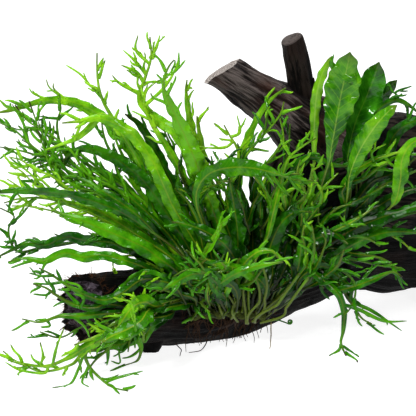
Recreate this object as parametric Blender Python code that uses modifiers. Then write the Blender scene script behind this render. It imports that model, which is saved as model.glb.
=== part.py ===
"""A laced java fern grown on a forked piece of driftwood.

Real size: a laced java fern leaf is 15 to 20 cm long and its blade 10 to 14 mm wide, so one pixel of the
photograph is about 0.85 mm at the middle of the plant. Places are picked as spots of the photograph with their
depth, and become metres in spot(). X points right, Y away from the viewer, Z up, and the origin is on the flat
patch of the log's underside that the wood stands on.
"""
import math

import bmesh
import bpy
import numpy as np
from mathutils import Vector
from mathutils.bvhtree import BVHTree

# ---------------------------------------------------------------- driving sizes
MM = 0.001
GAP = 0.3 * MM                  # clear space between pieces that touch
LEAF_THICKNESS = 0.8 * MM
STEM_WIDTH = 1.5 * MM           # a leaf's stalk
PRONG_WIDTH = 2.3 * MM          # where a finger of the laced tip leaves the blade
FINGERTIP_WIDTH = 1.0 * MM
LOBE_WIDTH = 8                  # mm; a wider prong is a rounded lobe
ROW_SPACING = 24 * MM           # between the cross rows of a leaf
FLOOR_CLEARANCE = 0.75 * MM     # the middle of a leaf that lies on the floor
BLADE_FOLD = 0.16               # depth of the fold along the midrib, as a share of the half width
WOOD_CLEARANCE = 3.2 * MM       # from the wood to the middle of a leaf that passes in front of it
BASE_CLEARANCE = 1.4 * MM       # the same at the leaf's base, on the rhizome
CLEARANCE_GROWTH = 0.3          # how fast the one becomes the other along the leaf
EASE = 0.55                     # how steeply a leaf comes forward to pass in front of the wood
SOLE = 10.5 * MM                # wood lower than this is worn flat where it stands on the floor
BARK_WORN = 1.9 * MM            # how much the trunk's surface has worn back on average
BARK_LUMP = 1.6 * MM            # how much its lumps stand above and below that
LUMPS_AROUND = 20               # the trunk's lumps, each about 20 mm wide and as long as a station
LUMP_SEED = 19

# ---------------------------------------------------------------- the photograph's view
PIXEL_CENTRE = 208.0
FOCAL_PIXELS = 1117.0
VIEW_DISTANCE = 0.95
VIEW_RISE = math.radians(20)
AIM_HEIGHT = 0.123
FORWARD = np.array([0.0, math.cos(VIEW_RISE), -math.sin(VIEW_RISE)])
UPWARD = np.array([0.0, math.sin(VIEW_RISE), math.cos(VIEW_RISE)])
EYE = np.array([0.0, 0.0, AIM_HEIGHT]) - VIEW_DISTANCE * FORWARD


def spot(pixel, depth_mm, floor=FLOOR_CLEARANCE):
    """The place seen at a pixel, depth_mm behind the origin, or on the floor where that would be below it."""
    ray = (FORWARD * FOCAL_PIXELS + UPWARD * (PIXEL_CENTRE - pixel[1])
           + np.array([pixel[0] - PIXEL_CENTRE, 0.0, 0.0]))
    place = EYE + ray * ((depth_mm * MM - EYE[1]) / ray[1])
    if place[2] < floor:
        place = EYE + ray * ((floor - EYE[2]) / ray[2])
    return place


def smooth_path(points, count=None, shares=None):
    """Places on a smooth curve through points, evenly spaced or at the given shares of its length."""
    points = np.asarray(points, dtype=float)
    padded = np.vstack([2 * points[0] - points[1], points, 2 * points[-1] - points[-2]])
    fine = []
    for a, b, c, d in zip(padded, padded[1:], padded[2:], padded[3:]):
        t = np.linspace(0.0, 1.0, 12, endpoint=False)[:, None]
        fine.append(b + 0.5 * t * (c - a + t * (2 * a - 5 * b + 4 * c - d + t * (3 * (b - c) + d - a))))
    fine = np.vstack(fine + [points[-1:]])
    along = np.concatenate([[0.0], np.cumsum(np.linalg.norm(np.diff(fine, axis=0), axis=1))])
    wanted = (np.linspace(0.0, 1.0, count) if shares is None else np.asarray(shares)) * along[-1]
    return np.column_stack([np.interp(wanted, along, fine[:, k]) for k in range(3)])


def path_length(points):
    return float(np.linalg.norm(np.diff(smooth_path(points, 60), axis=0), axis=1).sum())


def tangents(path):
    steps = np.gradient(path, axis=0)
    return steps / np.linalg.norm(steps, axis=1)[:, None]


# ---------------------------------------------------------------- materials and collections
def finish(name, rgb, roughness):
    """A Principled material with the piece's colour and roughness."""
    material = bpy.data.materials.new(name)
    material.use_nodes = True
    shader = material.node_tree.nodes["Principled BSDF"]
    shader.inputs["Base Color"].default_value = (*rgb, 1.0)
    shader.inputs["Roughness"].default_value = roughness
    return material


def place_object(name, mesh, collection, material=None):
    thing = bpy.data.objects.new(name, mesh)
    collection.objects.link(thing)
    if material:
        mesh.materials.append(material)
    return thing


# ---------------------------------------------------------------- driftwood
def worn_flat(heights, floor):
    """Heights with all below the sole pressed down to the floor, and those up to three times as high eased to it."""
    return np.where(heights < SOLE, floor, np.where(heights < 3 * SOLE, 1.5 * (heights - SOLE) + floor, heights))


def worn_bark():
    """How far the trunk's bark stands out at each station and point around: lumps of random height, worn back."""
    lumps = np.random.default_rng(LUMP_SEED).uniform(-1, 1, (len(TRUNK), LUMPS_AROUND))
    return BARK_LUMP * lumps - BARK_WORN


def limb_mesh(name, stations, sides, grow=0.0, lump=0.07, turn=0.0, bark=None):
    """A limb as a loft of lumpy ovals. A station is (pixel, depth, half height, half depth), sizes in mm.

    bark says how far the surface stands out from the oval at each station and point around.
    """
    centres = np.array([spot(pixel, depth, floor=-1.0) for pixel, depth, _, _ in stations])
    bark = np.zeros((len(stations), sides)) if bark is None else bark
    directions = tangents(centres)
    centres[0] -= 2 * grow * directions[0]
    centres[-1] += 2 * grow * directions[-1]
    angles = np.linspace(0.0, 2 * math.pi, sides, endpoint=False)
    mesh = bmesh.new()
    rings = []
    upright = np.array([-0.2, 0.0, 1.0])
    for number, (centre, along, station, relief) in enumerate(zip(centres, directions, stations, bark)):
        across = np.array([0.0, 1.0, 0.0]) - along * along[1]
        across /= np.linalg.norm(across)
        rise = np.cross(along, across)
        rise = rise if rise @ upright > 0 else -rise
        upright = rise
        swell = (1 + lump * np.cos(3 * angles + turn + 0.5 * number) + 0.6 * lump * np.cos(5 * angles - number))
        upward = np.sin(angles) * swell * (station[2] * MM + grow)
        sideways = np.cos(angles) * swell * (station[3] * MM + grow)
        push = 1 + relief / np.hypot(upward, sideways)
        ring = centre + np.outer(upward * push, rise) + np.outer(sideways * push, across)
        ring[:, 2] = worn_flat(ring[:, 2], -grow)
        rings.append([mesh.verts.new(point) for point in ring])
    for low, high in zip(rings, rings[1:]):
        for k in range(sides):
            mesh.faces.new((low[k], low[k - 1], high[k - 1], high[k]))
    mesh.faces.new(rings[0])
    mesh.faces.new(rings[-1][::-1])
    bmesh.ops.recalc_face_normals(mesh, faces=mesh.faces)
    bmesh.ops.triangulate(mesh, faces=mesh.faces)
    data = bpy.data.meshes.new(name)
    mesh.to_mesh(data)
    mesh.free()
    return data


def cut_end(thing, place, outward):
    """Saw or break a limb off flat: all that lies on the outward side of the plane goes."""
    mesh = bmesh.new()
    mesh.from_mesh(thing.data)
    everything = mesh.verts[:] + mesh.edges[:] + mesh.faces[:]
    bmesh.ops.bisect_plane(mesh, geom=everything, plane_co=place, plane_no=outward, clear_outer=True)
    rim = [edge for edge in mesh.edges if edge.is_boundary]
    bmesh.ops.contextual_create(mesh, geom=rim)
    bmesh.ops.recalc_face_normals(mesh, faces=mesh.faces)
    bmesh.ops.triangulate(mesh, faces=mesh.faces)
    mesh.to_mesh(thing.data)
    mesh.free()


def combine(thing, other, operation):
    step = thing.modifiers.new(f"{operation.lower()} {other.name}", "BOOLEAN")
    step.operation = operation
    step.object = other
    step.solver = "EXACT"


TRUNK = [
    ((454, 206), 92, 60, 43),
    ((438, 204), 90, 72, 50),
    ((412, 203), 86, 77, 52),
    ((384, 203), 80, 82, 50),
    ((358, 203), 74, 84, 46),
    ((334, 212), 64, 78, 42),
    ((312, 232), 52, 62, 38),
]
REAR_FOOT = [
    ((398, 235), 112, 24, 20),
    ((406, 262), 122, 20, 18),
    ((412, 300), 128, 19, 19),
]
FRONT_FOOT = [
    ((436, 235), 92, 26, 24),
    ((440, 262), 78, 20, 20),
    ((442, 322), 70, 19, 19),
]
LOWER_LIMB = [
    ((352, 224), 74, 48, 26),
    ((330, 237), 62, 53, 32),
    ((304, 252), 46, 49, 34),
    ((276, 266), 30, 44, 33),
    ((246, 280), 18, 40, 31),
    ((214, 293), 8, 38.5, 31),
    ((180, 299), -6, 35, 29),
    ((148, 302), -20, 32, 29),
    ((118, 303), -33, 30, 28),
    ((92, 304), -44, 28, 27),
    ((56, 306), -58, 27, 26),
]
NUB_FOOT = [
    ((155, 318), -20, 15, 14),
    ((151, 332), -21, 11, 10),
    ((148, 341), -22, 7.5, 8),
    ((145, 355), -23, 7, 8),
]
UPPER_LIMB = [
    ((352, 160), 72, 44, 34),
    ((326, 143), 68, 39, 30),
    ((302, 125), 64, 31, 26),
    ((278, 107), 60, 25, 22),
    ((254, 91), 57, 20.5, 19),
    ((230, 76), 54, 17.5, 18),
    ((196, 56), 51, 16, 17),
]
PEG = [
    ((301, 100), 64, 10, 11),
    ((297, 84), 63, 9.5, 10),
    ((294, 66), 62, 8.8, 9),
    ((292, 52), 61, 8.6, 8.5),
    ((292, 40), 60, 7.8, 7.6),
    ((292, 34.5), 60, 5.0, 5.0),
]
BROKEN_BUMP = [
    ((311, 98), 62, 5.5, 6),
    ((312, 86), 61, 3.4, 4),
    ((312, 78), 61, 2.2, 2.6),
]


def build_driftwood(parts, cutters):
    """Trunk, lower limb, upper limb and peg, each cut clear of the one it grows from."""
    dark = finish("driftwood", (0.045, 0.036, 0.033), 0.85)
    sides = 16

    def limb(name, stations, count=sides, grow=0.0, turn=0.0, lump=0.07, guide=False, bark=None):
        mesh = limb_mesh(name, stations, count, grow, lump, turn, bark)
        thing = place_object(name, mesh, cutters if guide else parts, None if guide else dark)
        if guide:
            thing.hide_render = True
            thing.display_type = "WIRE"
        return thing

    rear_foot = limb("rear_foot", REAR_FOOT, 10, guide=True)
    front_foot = limb("front_foot", FRONT_FOOT, 10, guide=True)
    trunk = limb("trunk", TRUNK, LUMPS_AROUND, bark=worn_bark())
    combine(trunk, rear_foot, "UNION")
    combine(trunk, front_foot, "UNION")
    trunk_room = limb("trunk_room", TRUNK, LUMPS_AROUND, grow=1.6 * GAP, guide=True, bark=worn_bark())

    lower = limb("lower_limb", LOWER_LIMB, turn=1.0)
    cut_end(lower, spot((84, 304), -47), (-0.62, -0.78, 0.08))
    combine(lower, limb("nub_foot", NUB_FOOT, 10, guide=True), "UNION")
    combine(lower, trunk_room, "DIFFERENCE")
    lower_room = limb("lower_limb_room", LOWER_LIMB, grow=1.6 * GAP, turn=1.0, guide=True)

    upper = limb("upper_limb", UPPER_LIMB, turn=2.0)
    cut_end(upper, spot((225, 68), 54), (-0.49, 0.06, 0.87))
    combine(upper, limb("broken_bump", BROKEN_BUMP, 8, guide=True), "UNION")
    combine(upper, trunk_room, "DIFFERENCE")
    combine(upper, lower_room, "DIFFERENCE")
    upper_room = limb("upper_limb_room", UPPER_LIMB, grow=1.6 * GAP, turn=2.0, guide=True)

    peg = limb("peg", PEG, 12, lump=0.04)
    combine(peg, upper_room, "DIFFERENCE")
    combine(peg, limb("broken_bump_room", BROKEN_BUMP, 8, grow=1.6 * GAP, guide=True), "DIFFERENCE")
    return [trunk_room, lower_room, upper_room]


def surface_tree(things):
    """The surfaces of the given meshes, for finding what a line of sight meets first."""
    points, faces = [], []
    for thing in things:
        start = len(points)
        points += [thing.matrix_world @ vertex.co for vertex in thing.data.vertices]
        faces += [[start + number for number in face.vertices] for face in thing.data.polygons]
    return BVHTree.FromPolygons(points, faces)


def sight_hits(points, tree):
    """How far from the eye each line of sight through the points meets the surfaces, or a metre beyond."""
    hits = []
    for point in points:
        found = tree.ray_cast(Vector(EYE), Vector(point - EYE))
        hits.append(found[3] if found[0] is not None else VIEW_DISTANCE + 1.0)
    return np.array(hits)


def lay_on(path, tree, height):
    """The path moved along its lines of sight until it lies height in front of the wood."""
    sight = (path - EYE) / np.linalg.norm(path - EYE, axis=1)[:, None]
    return EYE + sight * (sight_hits(path, tree) - height)[:, None]


def pass_in_front(path, across, halves, tree, ahead=0.0):
    """The path brought towards the eye, easing in and out, where the leaf would meet the wood."""
    distance = np.linalg.norm(path - EYE, axis=1)
    sight = (path - EYE) / distance[:, None]
    along = np.concatenate([[0.0], np.cumsum(np.linalg.norm(np.diff(path, axis=0), axis=1))])
    clearance = np.minimum(BASE_CLEARANCE + CLEARANCE_GROWTH * along, WOOD_CLEARANCE + ahead * MM)
    need = np.zeros(len(path))
    for side in (-1.0, 0.0, 1.0):
        edge = path + across * (side * halves)[:, None]
        need = np.maximum(need, np.linalg.norm(edge - EYE, axis=1) - sight_hits(edge, tree) + clearance)
    pull = np.max(need[None, :] - EASE * np.abs(along[:, None] - along[None, :]), axis=1)
    return path - sight * pull[:, None]


# ---------------------------------------------------------------- rhizomes, roots and the fiddlehead
def tube_mesh(name, path, radii, sides=8):
    """A round tapering stem along a path: a poly curve with a bevel and filled caps, turned into a welded mesh."""
    curve = bpy.data.curves.new(name, "CURVE")
    curve.dimensions = "3D"
    curve.bevel_depth = 1.0
    curve.bevel_resolution = max(2, sides // 2 - 2)
    curve.use_fill_caps = True
    line = curve.splines.new("POLY")
    line.points.add(len(path) - 1)
    for point, place, radius in zip(line.points, path, radii):
        point.co = (*place, 1.0)
        point.radius = radius
    holder = bpy.data.objects.new(name + "_line", curve)
    bpy.context.scene.collection.objects.link(holder)
    bpy.context.view_layer.update()
    data = bpy.data.meshes.new_from_object(holder.evaluated_get(bpy.context.evaluated_depsgraph_get()))
    bpy.data.objects.remove(holder)
    mesh = bmesh.new()
    mesh.from_mesh(data)
    bmesh.ops.remove_doubles(mesh, verts=mesh.verts, dist=0.00001)
    bmesh.ops.recalc_face_normals(mesh, faces=mesh.faces)
    bmesh.ops.triangulate(mesh, faces=mesh.faces)
    mesh.to_mesh(data)
    mesh.free()
    data.name = name
    return data


# name: (route in pixels over the wood that it lies on, thickness in mm)
RHIZOMES = {
    "rhizome_main": ([(188, 317), (204, 315), (220, 313), (236, 313), (252, 315), (268, 316)], 6.0),
    "rhizome_left": ([(134, 309), (148, 307), (164, 303), (182, 300)], 5.0),
    "rhizome_right": ([(299, 268), (314, 254), (328, 243), (344, 236)], 5.5),
}
# name: (route of (pixel, depth), thickness in mm)
ROOTS = {
    "root_forked": ([((176, 330), -14), ((176, 343), -16), ((181, 350), -22), ((180, 356), -28)], 1.6),
    "root_long": ([((208, 330), -6), ((206, 344), -12), ((200, 351), -22), ((189, 353), -30)], 1.6),
    "root_pale": ([((271, 322), 5), ((271, 335), 4), ((270, 349), 2)], 1.4),
}
FIDDLEHEAD_STEM = [((270, 321), 2), ((277, 320), 0), ((284, 322), -2), ((289, 324), -3)]
FIDDLEHEAD_THICKNESS = 1.6
CURL_RADIUS = 2.2 * MM


def build_rhizomes(parts, rooms):
    """The creeping stems, laid on the wood, and the roots; all are cut clear of the wood."""
    green = finish("rhizome", (0.10, 0.13, 0.03), 0.6)
    brown = finish("root", (0.07, 0.03, 0.015), 0.8)
    stems = []
    for name, (route, thickness) in RHIZOMES.items():
        path = lay_on(smooth_path([spot(pixel, 0) for pixel in route], 7), surface_tree(rooms), 0.3 * thickness * MM)
        share = np.linspace(0, 1, len(path))
        radii = 0.5 * thickness * MM * (1 + 0.14 * np.cos(9 * share)) * np.where((share == 0) | (share == 1), 0.6, 1)
        stem = place_object(name, tube_mesh(name, path, radii), parts, green)
        stems.append(stem)
        for room in rooms:
            combine(stem, room, "DIFFERENCE")
    for name, (route, thickness) in ROOTS.items():
        path = smooth_path([spot(pixel, depth) for pixel, depth in route], 5)
        path[:, 2] = np.maximum(path[:, 2], 0.75 * thickness * MM)
        radii = 0.5 * thickness * MM * np.linspace(1, 0.6, len(path))
        root = place_object(name, tube_mesh(name, path, radii), parts, brown)
        for room in rooms:
            combine(root, room, "DIFFERENCE")
    return stems


def build_fiddlehead(parts):
    """A thin stem whose end rolls up into a ball: the last turn of a spiral that shrinks towards its middle."""
    stem = smooth_path([spot(pixel, depth) for pixel, depth in FIDDLEHEAD_STEM], 6)
    centre = stem[-1] + np.array([0.3, 0.0, 1.0]) * CURL_RADIUS
    turn = np.linspace(-0.5 * math.pi, 0.75 * math.pi, 6)[1:]
    shrink = np.linspace(1.0, 0.45, len(turn))[:, None] * CURL_RADIUS
    curl = centre + shrink * np.column_stack([np.cos(turn), 0 * turn, np.sin(turn)])
    path = np.vstack([stem, curl])
    radii = 0.5 * FIDDLEHEAD_THICKNESS * MM * np.concatenate([np.full(len(stem), 0.9), np.linspace(1, 1.15, len(turn))])
    green = finish("fiddlehead", (0.02, 0.07, 0.02), 0.5)
    place_object("fiddlehead", tube_mesh("fiddlehead", path, radii, 6), parts, green)


# ---------------------------------------------------------------- leaves
def leaf(name, width, depth, route, prongs=(), roll=0.0, stem=0.22, tip=0.86, colour="mid", lean=0.0, ahead=0.0,
         rear=False, skew=0.85):
    """One leaf. width is the blade's, in mm; depth holds depths in mm spread evenly over the route's spots.

    route runs from the rhizome to the tip. A prong is (share of the leaf's length, side, spots, width): a finger
    or lobe that leaves the left (-1) or right (1) edge of the blade. stem and tip are the shares where the blade
    starts to widen and where it has narrowed to a finger. roll turns the blade about its own length, in degrees.
    lean is how many mm the leaf's free part stands back, or forward if negative, to pass its neighbours, and ahead
    is how many mm more its stem stands out from the wood. A rear leaf may pass behind the wood. A skew over 1 puts
    the blade's widest place nearer its tip.
    """
    return dict(name=name, width=width, depth=depth, route=route, prongs=prongs, roll=roll, stem=stem, tip=tip,
                colour=colour, lean=lean, ahead=ahead, rear=rear, skew=skew)


LEAVES = [
    # the tall fan at the upper left
    leaf("bright_arching_leaf", 12, (-12, 2, 4, 0, -6), colour="bright", roll=-12, tip=0.9, lean=-18, ahead=5,
         route=[(222, 312), (200, 262), (184, 232), (172, 205), (162, 182), (153, 162), (142, 145), (128, 131),
                (112, 122), (96, 118), (80, 121), (62, 123)],
         prongs=[(0.87, -1, [(80, 136), (62, 144), (45, 150)], 5), (0.93, -1, [(74, 141)], 3)]),
    leaf("dark_arching_leaf", 10, (-10, 20, 34, 30, 22), colour="mid", roll=10, tip=0.97,
         route=[(219, 306), (201, 264), (174, 222), (152, 186), (132, 152), (112, 127), (92, 110), (76, 103),
                (60, 100), (44, 101), (28, 105), (12, 110), (-4, 113)],
         prongs=[(0.74, 1, [(52, 90), (46, 79)], 3), (0.79, 1, [(36, 95), (29, 88)], 2.5),
                 (0.69, 1, [(57, 92), (54, 83)], 2.5)]),
    leaf("forked_thin_leaf", 5, (-8, 4, 6, 4, 2), colour="bright", tip=0.8, roll=15,
         route=[(214, 307), (190, 254), (162, 206), (136, 158), (116, 124), (104, 103), (99, 88), (97, 70), (97, 53)],
         prongs=[(0.83, -1, [(90, 85), (80, 74), (66, 65)], 3), ]),
    leaf("lace_crown_leaf", 13, (-8, 12, 28, 34, 30), colour="mid", tip=0.83, roll=-15,
         route=[(224, 306), (212, 250), (203, 206), (192, 160), (178, 134), (160, 121), (145, 108), (140, 95),
                (145, 78), (151, 58), (150, 37)],
         prongs=[(0.80, -1, [(128, 88), (118, 82), (112, 75)], 3), (0.84, -1, [(136, 72), (121, 65)], 3),
                 (0.87, -1, [(136, 62), (123, 50)], 2.5), (0.91, -1, [(136, 50), (138, 35)], 2.5),
                 (0.93, 1, [(156, 48), (160, 35)], 2.5)]),
    leaf("red_rib_leaf", 17, (-6, 18, 22, 14, 10), colour="mid", tip=0.88, roll=8, lean=-22, ahead=9,
         route=[(227, 312), (215, 240), (206, 190), (195, 160), (186, 138), (176, 117), (167, 98), (163, 84),
                (168, 68), (174, 60)],
         prongs=[(0.93, 1, [(177, 69), (179, 52)], 4), ]),
    leaf("yellow_pointed_leaf", 11, (-4, 26, 36, 34, 28), colour="bright", roll=-10, tip=0.93,
         route=[(229, 306), (218, 240), (208, 188), (199, 160), (194, 140), (190, 120), (187, 100), (186, 90),
                (187, 80)],
         prongs=[(0.95, 1, [(192, 87)], 2.5)]),
    leaf("dark_wavy_leaf", 13, (-14, -8, 4, 8, 2), colour="deep", roll=14, tip=0.97, ahead=3,
         route=[(217, 312), (195, 262), (172, 222), (148, 186), (124, 164), (106, 154), (90, 149), (75, 151),
                (62, 162)]),
    leaf("small_curved_leaf", 8, (-14, -14, -6, 0, 2), colour="mid", roll=-14, tip=0.95, lean=12, ahead=1.5,
         route=[(209, 308), (182, 262), (152, 222), (128, 188), (108, 173), (88, 170), (70, 180)]),
    # the lacy mass on the left
    leaf("lacy_frond_1", 7, (-16, -18, -8, 4, 10), tip=0.75, roll=20, lean=4, ahead=1.5,
         route=[(204, 309), (176, 256), (140, 226), (108, 205), (80, 188), (56, 168), (34, 148), (14, 130), (-4, 121)],
         prongs=[(0.78, 1, [(44, 140), (38, 121)], 2.6), (0.86, 1, [(24, 125), (12, 104)], 2.6),
                 (0.82, -1, [(30, 160), (4, 146)], 2.6)]),
    leaf("lacy_frond_2", 6, (-12, -6, 10, 22, 26), tip=0.8, roll=-20, ahead=5,
         route=[(212, 313), (180, 250), (140, 206), (108, 184), (78, 168), (62, 148), (57, 125), (61, 108), (58, 98)],
         prongs=[(0.93, -1, [(45, 118), (39, 121)], 2.4), ]),
    leaf("lacy_frond_3", 8, (-18, -26, -24, -16, -12), tip=0.75, colour="bright", roll=12, ahead=1.5,
         route=[(199, 310), (176, 269), (138, 236), (100, 212), (70, 203), (40, 198), (18, 199), (4, 203)],
         prongs=[(0.78, 1, [(42, 186), (26, 170), (9, 161)], 2.6), (0.72, 1, [(50, 188), (32, 170)], 2.6),
                 (0.86, -1, [(22, 206), (10, 212)], 2.2)]),
    leaf("lacy_frond_4", 8, (-14, -14, 0, 12, 14), tip=0.7, roll=-8, lean=-9, ahead=5,
         route=[(207, 314), (170, 246), (136, 214), (104, 192), (76, 176), (48, 160), (22, 151), (0, 147)],
         prongs=[(0.74, 1, [(50, 148), (44, 132)], 2.4), (0.82, -1, [(24, 166), (10, 158)], 2.4)]),
    leaf("dark_left_leaf", 9, (-15, -20, -10, 0, 4), colour="deep", tip=0.97, roll=22, stem=0.4, lean=-26, ahead=7,
         route=[(202, 315), (179, 262), (134, 220), (96, 202), (62, 194), (30, 191), (10, 191), (-8, 193)]),
    leaf("long_left_leaf", 13, (-20, -40, -44, -40, -36), colour="mid", tip=0.95, roll=-10, lean=-4, ahead=3,
         route=[(196, 317), (178, 280), (152, 253), (126, 239), (100, 228), (76, 218), (52, 211)],
         prongs=[(0.93, -1, [(62, 217)], 2.5)]),
    # the long wavy pair
    leaf("wavy_pair_upper", 10, (-22, -46, -52, -50, -48), colour="deep", tip=0.9, roll=12, lean=2, ahead=1.5,
         route=[(194, 312), (170, 278), (142, 256), (112, 243), (88, 241), (66, 237), (46, 245), (28, 243),
                (12, 250), (-6, 259)],
         prongs=[(0.62, 1, [(96, 238), (88, 232)], 2.4), (0.90, 1, [(14, 240), (5, 246)], 2.4)]),
    leaf("wavy_pair_lower", 9, (-24, -52, -60, -60, -58), colour="mid", tip=0.92, roll=-12,
         route=[(191, 316), (166, 286), (140, 267), (120, 259), (100, 255), (84, 257), (64, 253), (44, 261),
                (26, 258), (8, 262)],
         prongs=[(0.84, -1, [(36, 265)], 2.4)]),
    # the trailing ones at the lower left
    leaf("over_log_frond", 8, (-48, -62, -76, -80, -74), colour="mid", tip=0.8, roll=10, stem=0.1,
         route=[(178, 297), (160, 281), (142, 280), (124, 292), (106, 300), (88, 296), (68, 286), (52, 275),
                (39, 268)],
         prongs=[(0.90, -1, [(42, 276), (29, 273)], 2.6), (0.84, -1, [(48, 284), (33, 283)], 2.6)]),
    leaf("low_left_frond", 6, (-60, -74, -82, -80, -74), colour="mid", tip=0.7, stem=0.12,
         route=[(144, 309), (124, 312), (100, 314), (80, 316), (60, 316), (40, 322), (22, 319)],
         prongs=[(0.80, -1, [(50, 326), (40, 327)], 2.4), (0.62, -1, [(84, 326), (90, 338)], 3)]),
    leaf("sweeping_frond", 9, (-52, -66, -77, -76, -62, -56), colour="bright", tip=0.62, stem=0.1, roll=10, lean=-4,
         route=[(168, 301), (150, 314), (128, 326), (106, 337), (86, 347), (66, 359), (46, 366), (26, 364),
                (14, 360), (3, 351)],
         prongs=[(0.70, 1, [(57, 346), (64, 328)], 2.6), (0.78, 1, [(43, 356), (40, 342)], 2.6),
                 (0.72, -1, [(44, 373), (20, 370), (5, 362)], 2.6)]),
    leaf("front_fork_frond", 6, (-50, -74, -90, -92, -98), colour="mid", tip=0.6, stem=0.12, lean=15, ahead=5,
         route=[(160, 304), (140, 322), (116, 334), (98, 342), (86, 352), (88, 364), (98, 376), (112, 387),
                (128, 391)],
         prongs=[(0.84, 1, [(120, 377), (143, 371)], 2.6), (0.60, -1, [(78, 370), (70, 384), (52, 388)], 2.8),
                 (0.66, 1, [(82, 382), (89, 387)], 2.2)]),
    leaf("hooked_frond", 7, (-48, -58, -63, -60, -52), colour="mid", tip=0.7, stem=0.12, roll=-10, lean=12, ahead=1.5,
         route=[(172, 301), (158, 312), (146, 322), (137, 334), (141, 348), (137, 361), (122, 366)],
         prongs=[(0.60, -1, [(120, 350), (120, 363), (111, 361)], 2.8)]),
    leaf("broad_low_leaf", 15, (-50, -66, -76, -84, -88), colour="bright", tip=0.92, stem=0.1, roll=-18, lean=-15,
         route=[(156, 304), (148, 312), (140, 322), (126, 330), (112, 336), (100, 344)],
         prongs=[(0.60, 1, [(132, 304), (122, 300)], 3), (0.5, -1, [(146, 334)], 4)]),
    # the middle
    leaf("dull_arched_leaf", 15, (-18, -30, -38, -40, -40), colour="mid", roll=-20, tip=0.95, lean=4,
         route=[(234, 307), (240, 284), (236, 262), (224, 244), (206, 232), (188, 225), (172, 222)]),
    leaf("lobed_front_leaf", 9, (-16, -36, -44, -44), colour="bright", roll=10, tip=0.92,
         route=[(237, 313), (236, 284), (244, 264), (258, 252), (272, 251), (278, 258)],
         prongs=[(0.60, -1, [(256, 262)], 3)]),
    leaf("upright_leaf_1", 14, (-12, -10, -4, 0), colour="mid", roll=24, tip=0.95, lean=-8,
         route=[(242, 313), (238, 270), (238, 235), (234, 205), (229, 178)]),
    leaf("yellow_rib_leaf", 16, (-14, -18, -20, -18, -14), colour="bright", roll=-10, tip=0.88, stem=0.42,
         route=[(232, 313), (216, 262), (202, 225), (196, 196), (206, 176), (226, 168), (252, 168), (274, 173),
                (294, 179), (314, 181)],
         prongs=[(0.82, 1, [(280, 187), (292, 197)], 2.8), (0.90, 1, [(297, 188), (307, 194)], 4)]),
    leaf("lace_star_frond", 5, (-10, -4, 4, 6, 4), colour="bright", tip=0.8, stem=0.5, ahead=1.5, lean=5,
         route=[(239, 306), (232, 262), (226, 222), (230, 185), (238, 160), (237, 148), (230, 136), (224, 125)],
         prongs=[(0.93, 1, [(240, 132), (237, 115)], 3), (0.90, -1, [(226, 147), (214, 148), (198, 147)], 2)]),
    leaf("light_upright_leaf", 9, (-6, 10, 22, 26, 24), colour="bright", roll=12, tip=0.93, lean=9,
         route=[(244, 306), (238, 262), (234, 222), (237, 185), (243, 152), (252, 128), (264, 107), (276, 95),
                (286, 88)]),
    leaf("finger_frond", 6, (0, 6, 12, 14, 12), colour="bright", tip=0.75, stem=0.4, lean=-22, ahead=3,
         route=[(249, 313), (262, 262), (272, 218), (280, 186), (288, 160), (300, 148), (316, 138)],
         prongs=[(0.86, -1, [(284, 146), (284, 138)], 2.8), (0.93, -1, [(302, 142), (307, 136)], 2.4)]),
    leaf("dark_hooked_leaf", 8, (2, 10, 20, 22, 20), colour="deep", roll=-14, tip=0.95,
         route=[(256, 314), (270, 262), (280, 216), (288, 182), (300, 162), (314, 157), (330, 164), (352, 167)]),
    leaf("middle_lobed_leaf", 15, (-4, -8, -10, -10, -8), colour="mid", roll=16, tip=0.93, ahead=1.5,
         route=[(252, 307), (264, 270), (272, 242), (282, 222), (296, 212), (312, 212)],
         prongs=[(0.86, -1, [(296, 203)], 4), (0.95, 1, [(308, 205)], 2.4)]),
    # the broad plain ones at the upper right
    leaf("broad_leaf_front", 25, (12, 16, 18, 20, 18), colour="deep", roll=-12, tip=1.0, stem=0.38, skew=2.0,
         route=[(322, 247), (325, 215), (328, 180), (331, 150), (336, 122), (341, 95), (346, 72), (350, 52)],
         prongs=[(0.86, -1, [(333, 66), (334, 54)], 12)]),
    leaf("broad_leaf_middle", 22, (20, 27, 32, 34, 32), colour="deep", roll=22, tip=1.0, stem=0.3, skew=1.8,
         route=[(336, 238), (341, 205), (345, 178), (349, 150), (356, 122), (366, 98), (374, 78), (379, 62)]),
    leaf("broad_leaf_rear", 13, (26, 40, 46, 46, 42), colour="deep", roll=-20, tip=1.0, stem=0.35, skew=1.8,
         route=[(342, 235), (348, 200), (353, 168), (361, 138), (372, 112), (386, 92), (397, 80)]),
    leaf("broad_leaf_light", 15, (22, 20, 16, 12, 10), colour="bright", roll=14, tip=1.0, stem=0.3, skew=1.5, lean=-12,
         route=[(339, 237), (344, 205), (350, 175), (360, 150), (374, 128), (387, 113), (397, 105)]),
    leaf("arched_dark_leaf", 7, (28, 30, 30, 28, 26), colour="deep", roll=-10, tip=0.9, stem=0.4,
         route=[(346, 237), (356, 200), (364, 160), (370, 126), (380, 108), (396, 100), (410, 106), (424, 118)],
         prongs=[(0.84, 1, [(396, 92), (412, 86)], 2.4)]),
    leaf("edge_dark_leaf", 13, (25, 24, 22, 20, 18), colour="deep", roll=8, tip=0.97, stem=0.35, ahead=3,
         route=[(344, 234), (362, 205), (376, 175), (386, 152), (396, 133), (412, 122), (432, 118)]),
    leaf("edge_yellow_leaf", 13, (24, 14, 8, 8, 8), colour="bright", roll=-14, tip=0.97, stem=0.42,
         route=[(345, 240), (375, 226), (393, 206), (400, 182), (402, 160), (411, 144), (427, 137)]),
    # the long ones that reach right, low down
    leaf("long_right_leaf_1", 11, (6, 0, 2, 6, 8), colour="mid", roll=-16, tip=0.92, stem=0.25,
         route=[(266, 317), (284, 298), (306, 280), (330, 260), (356, 243), (384, 233), (410, 232), (430, 236)],
         prongs=[(0.80, 1, [(398, 238), (405, 243)], 3)]),
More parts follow.
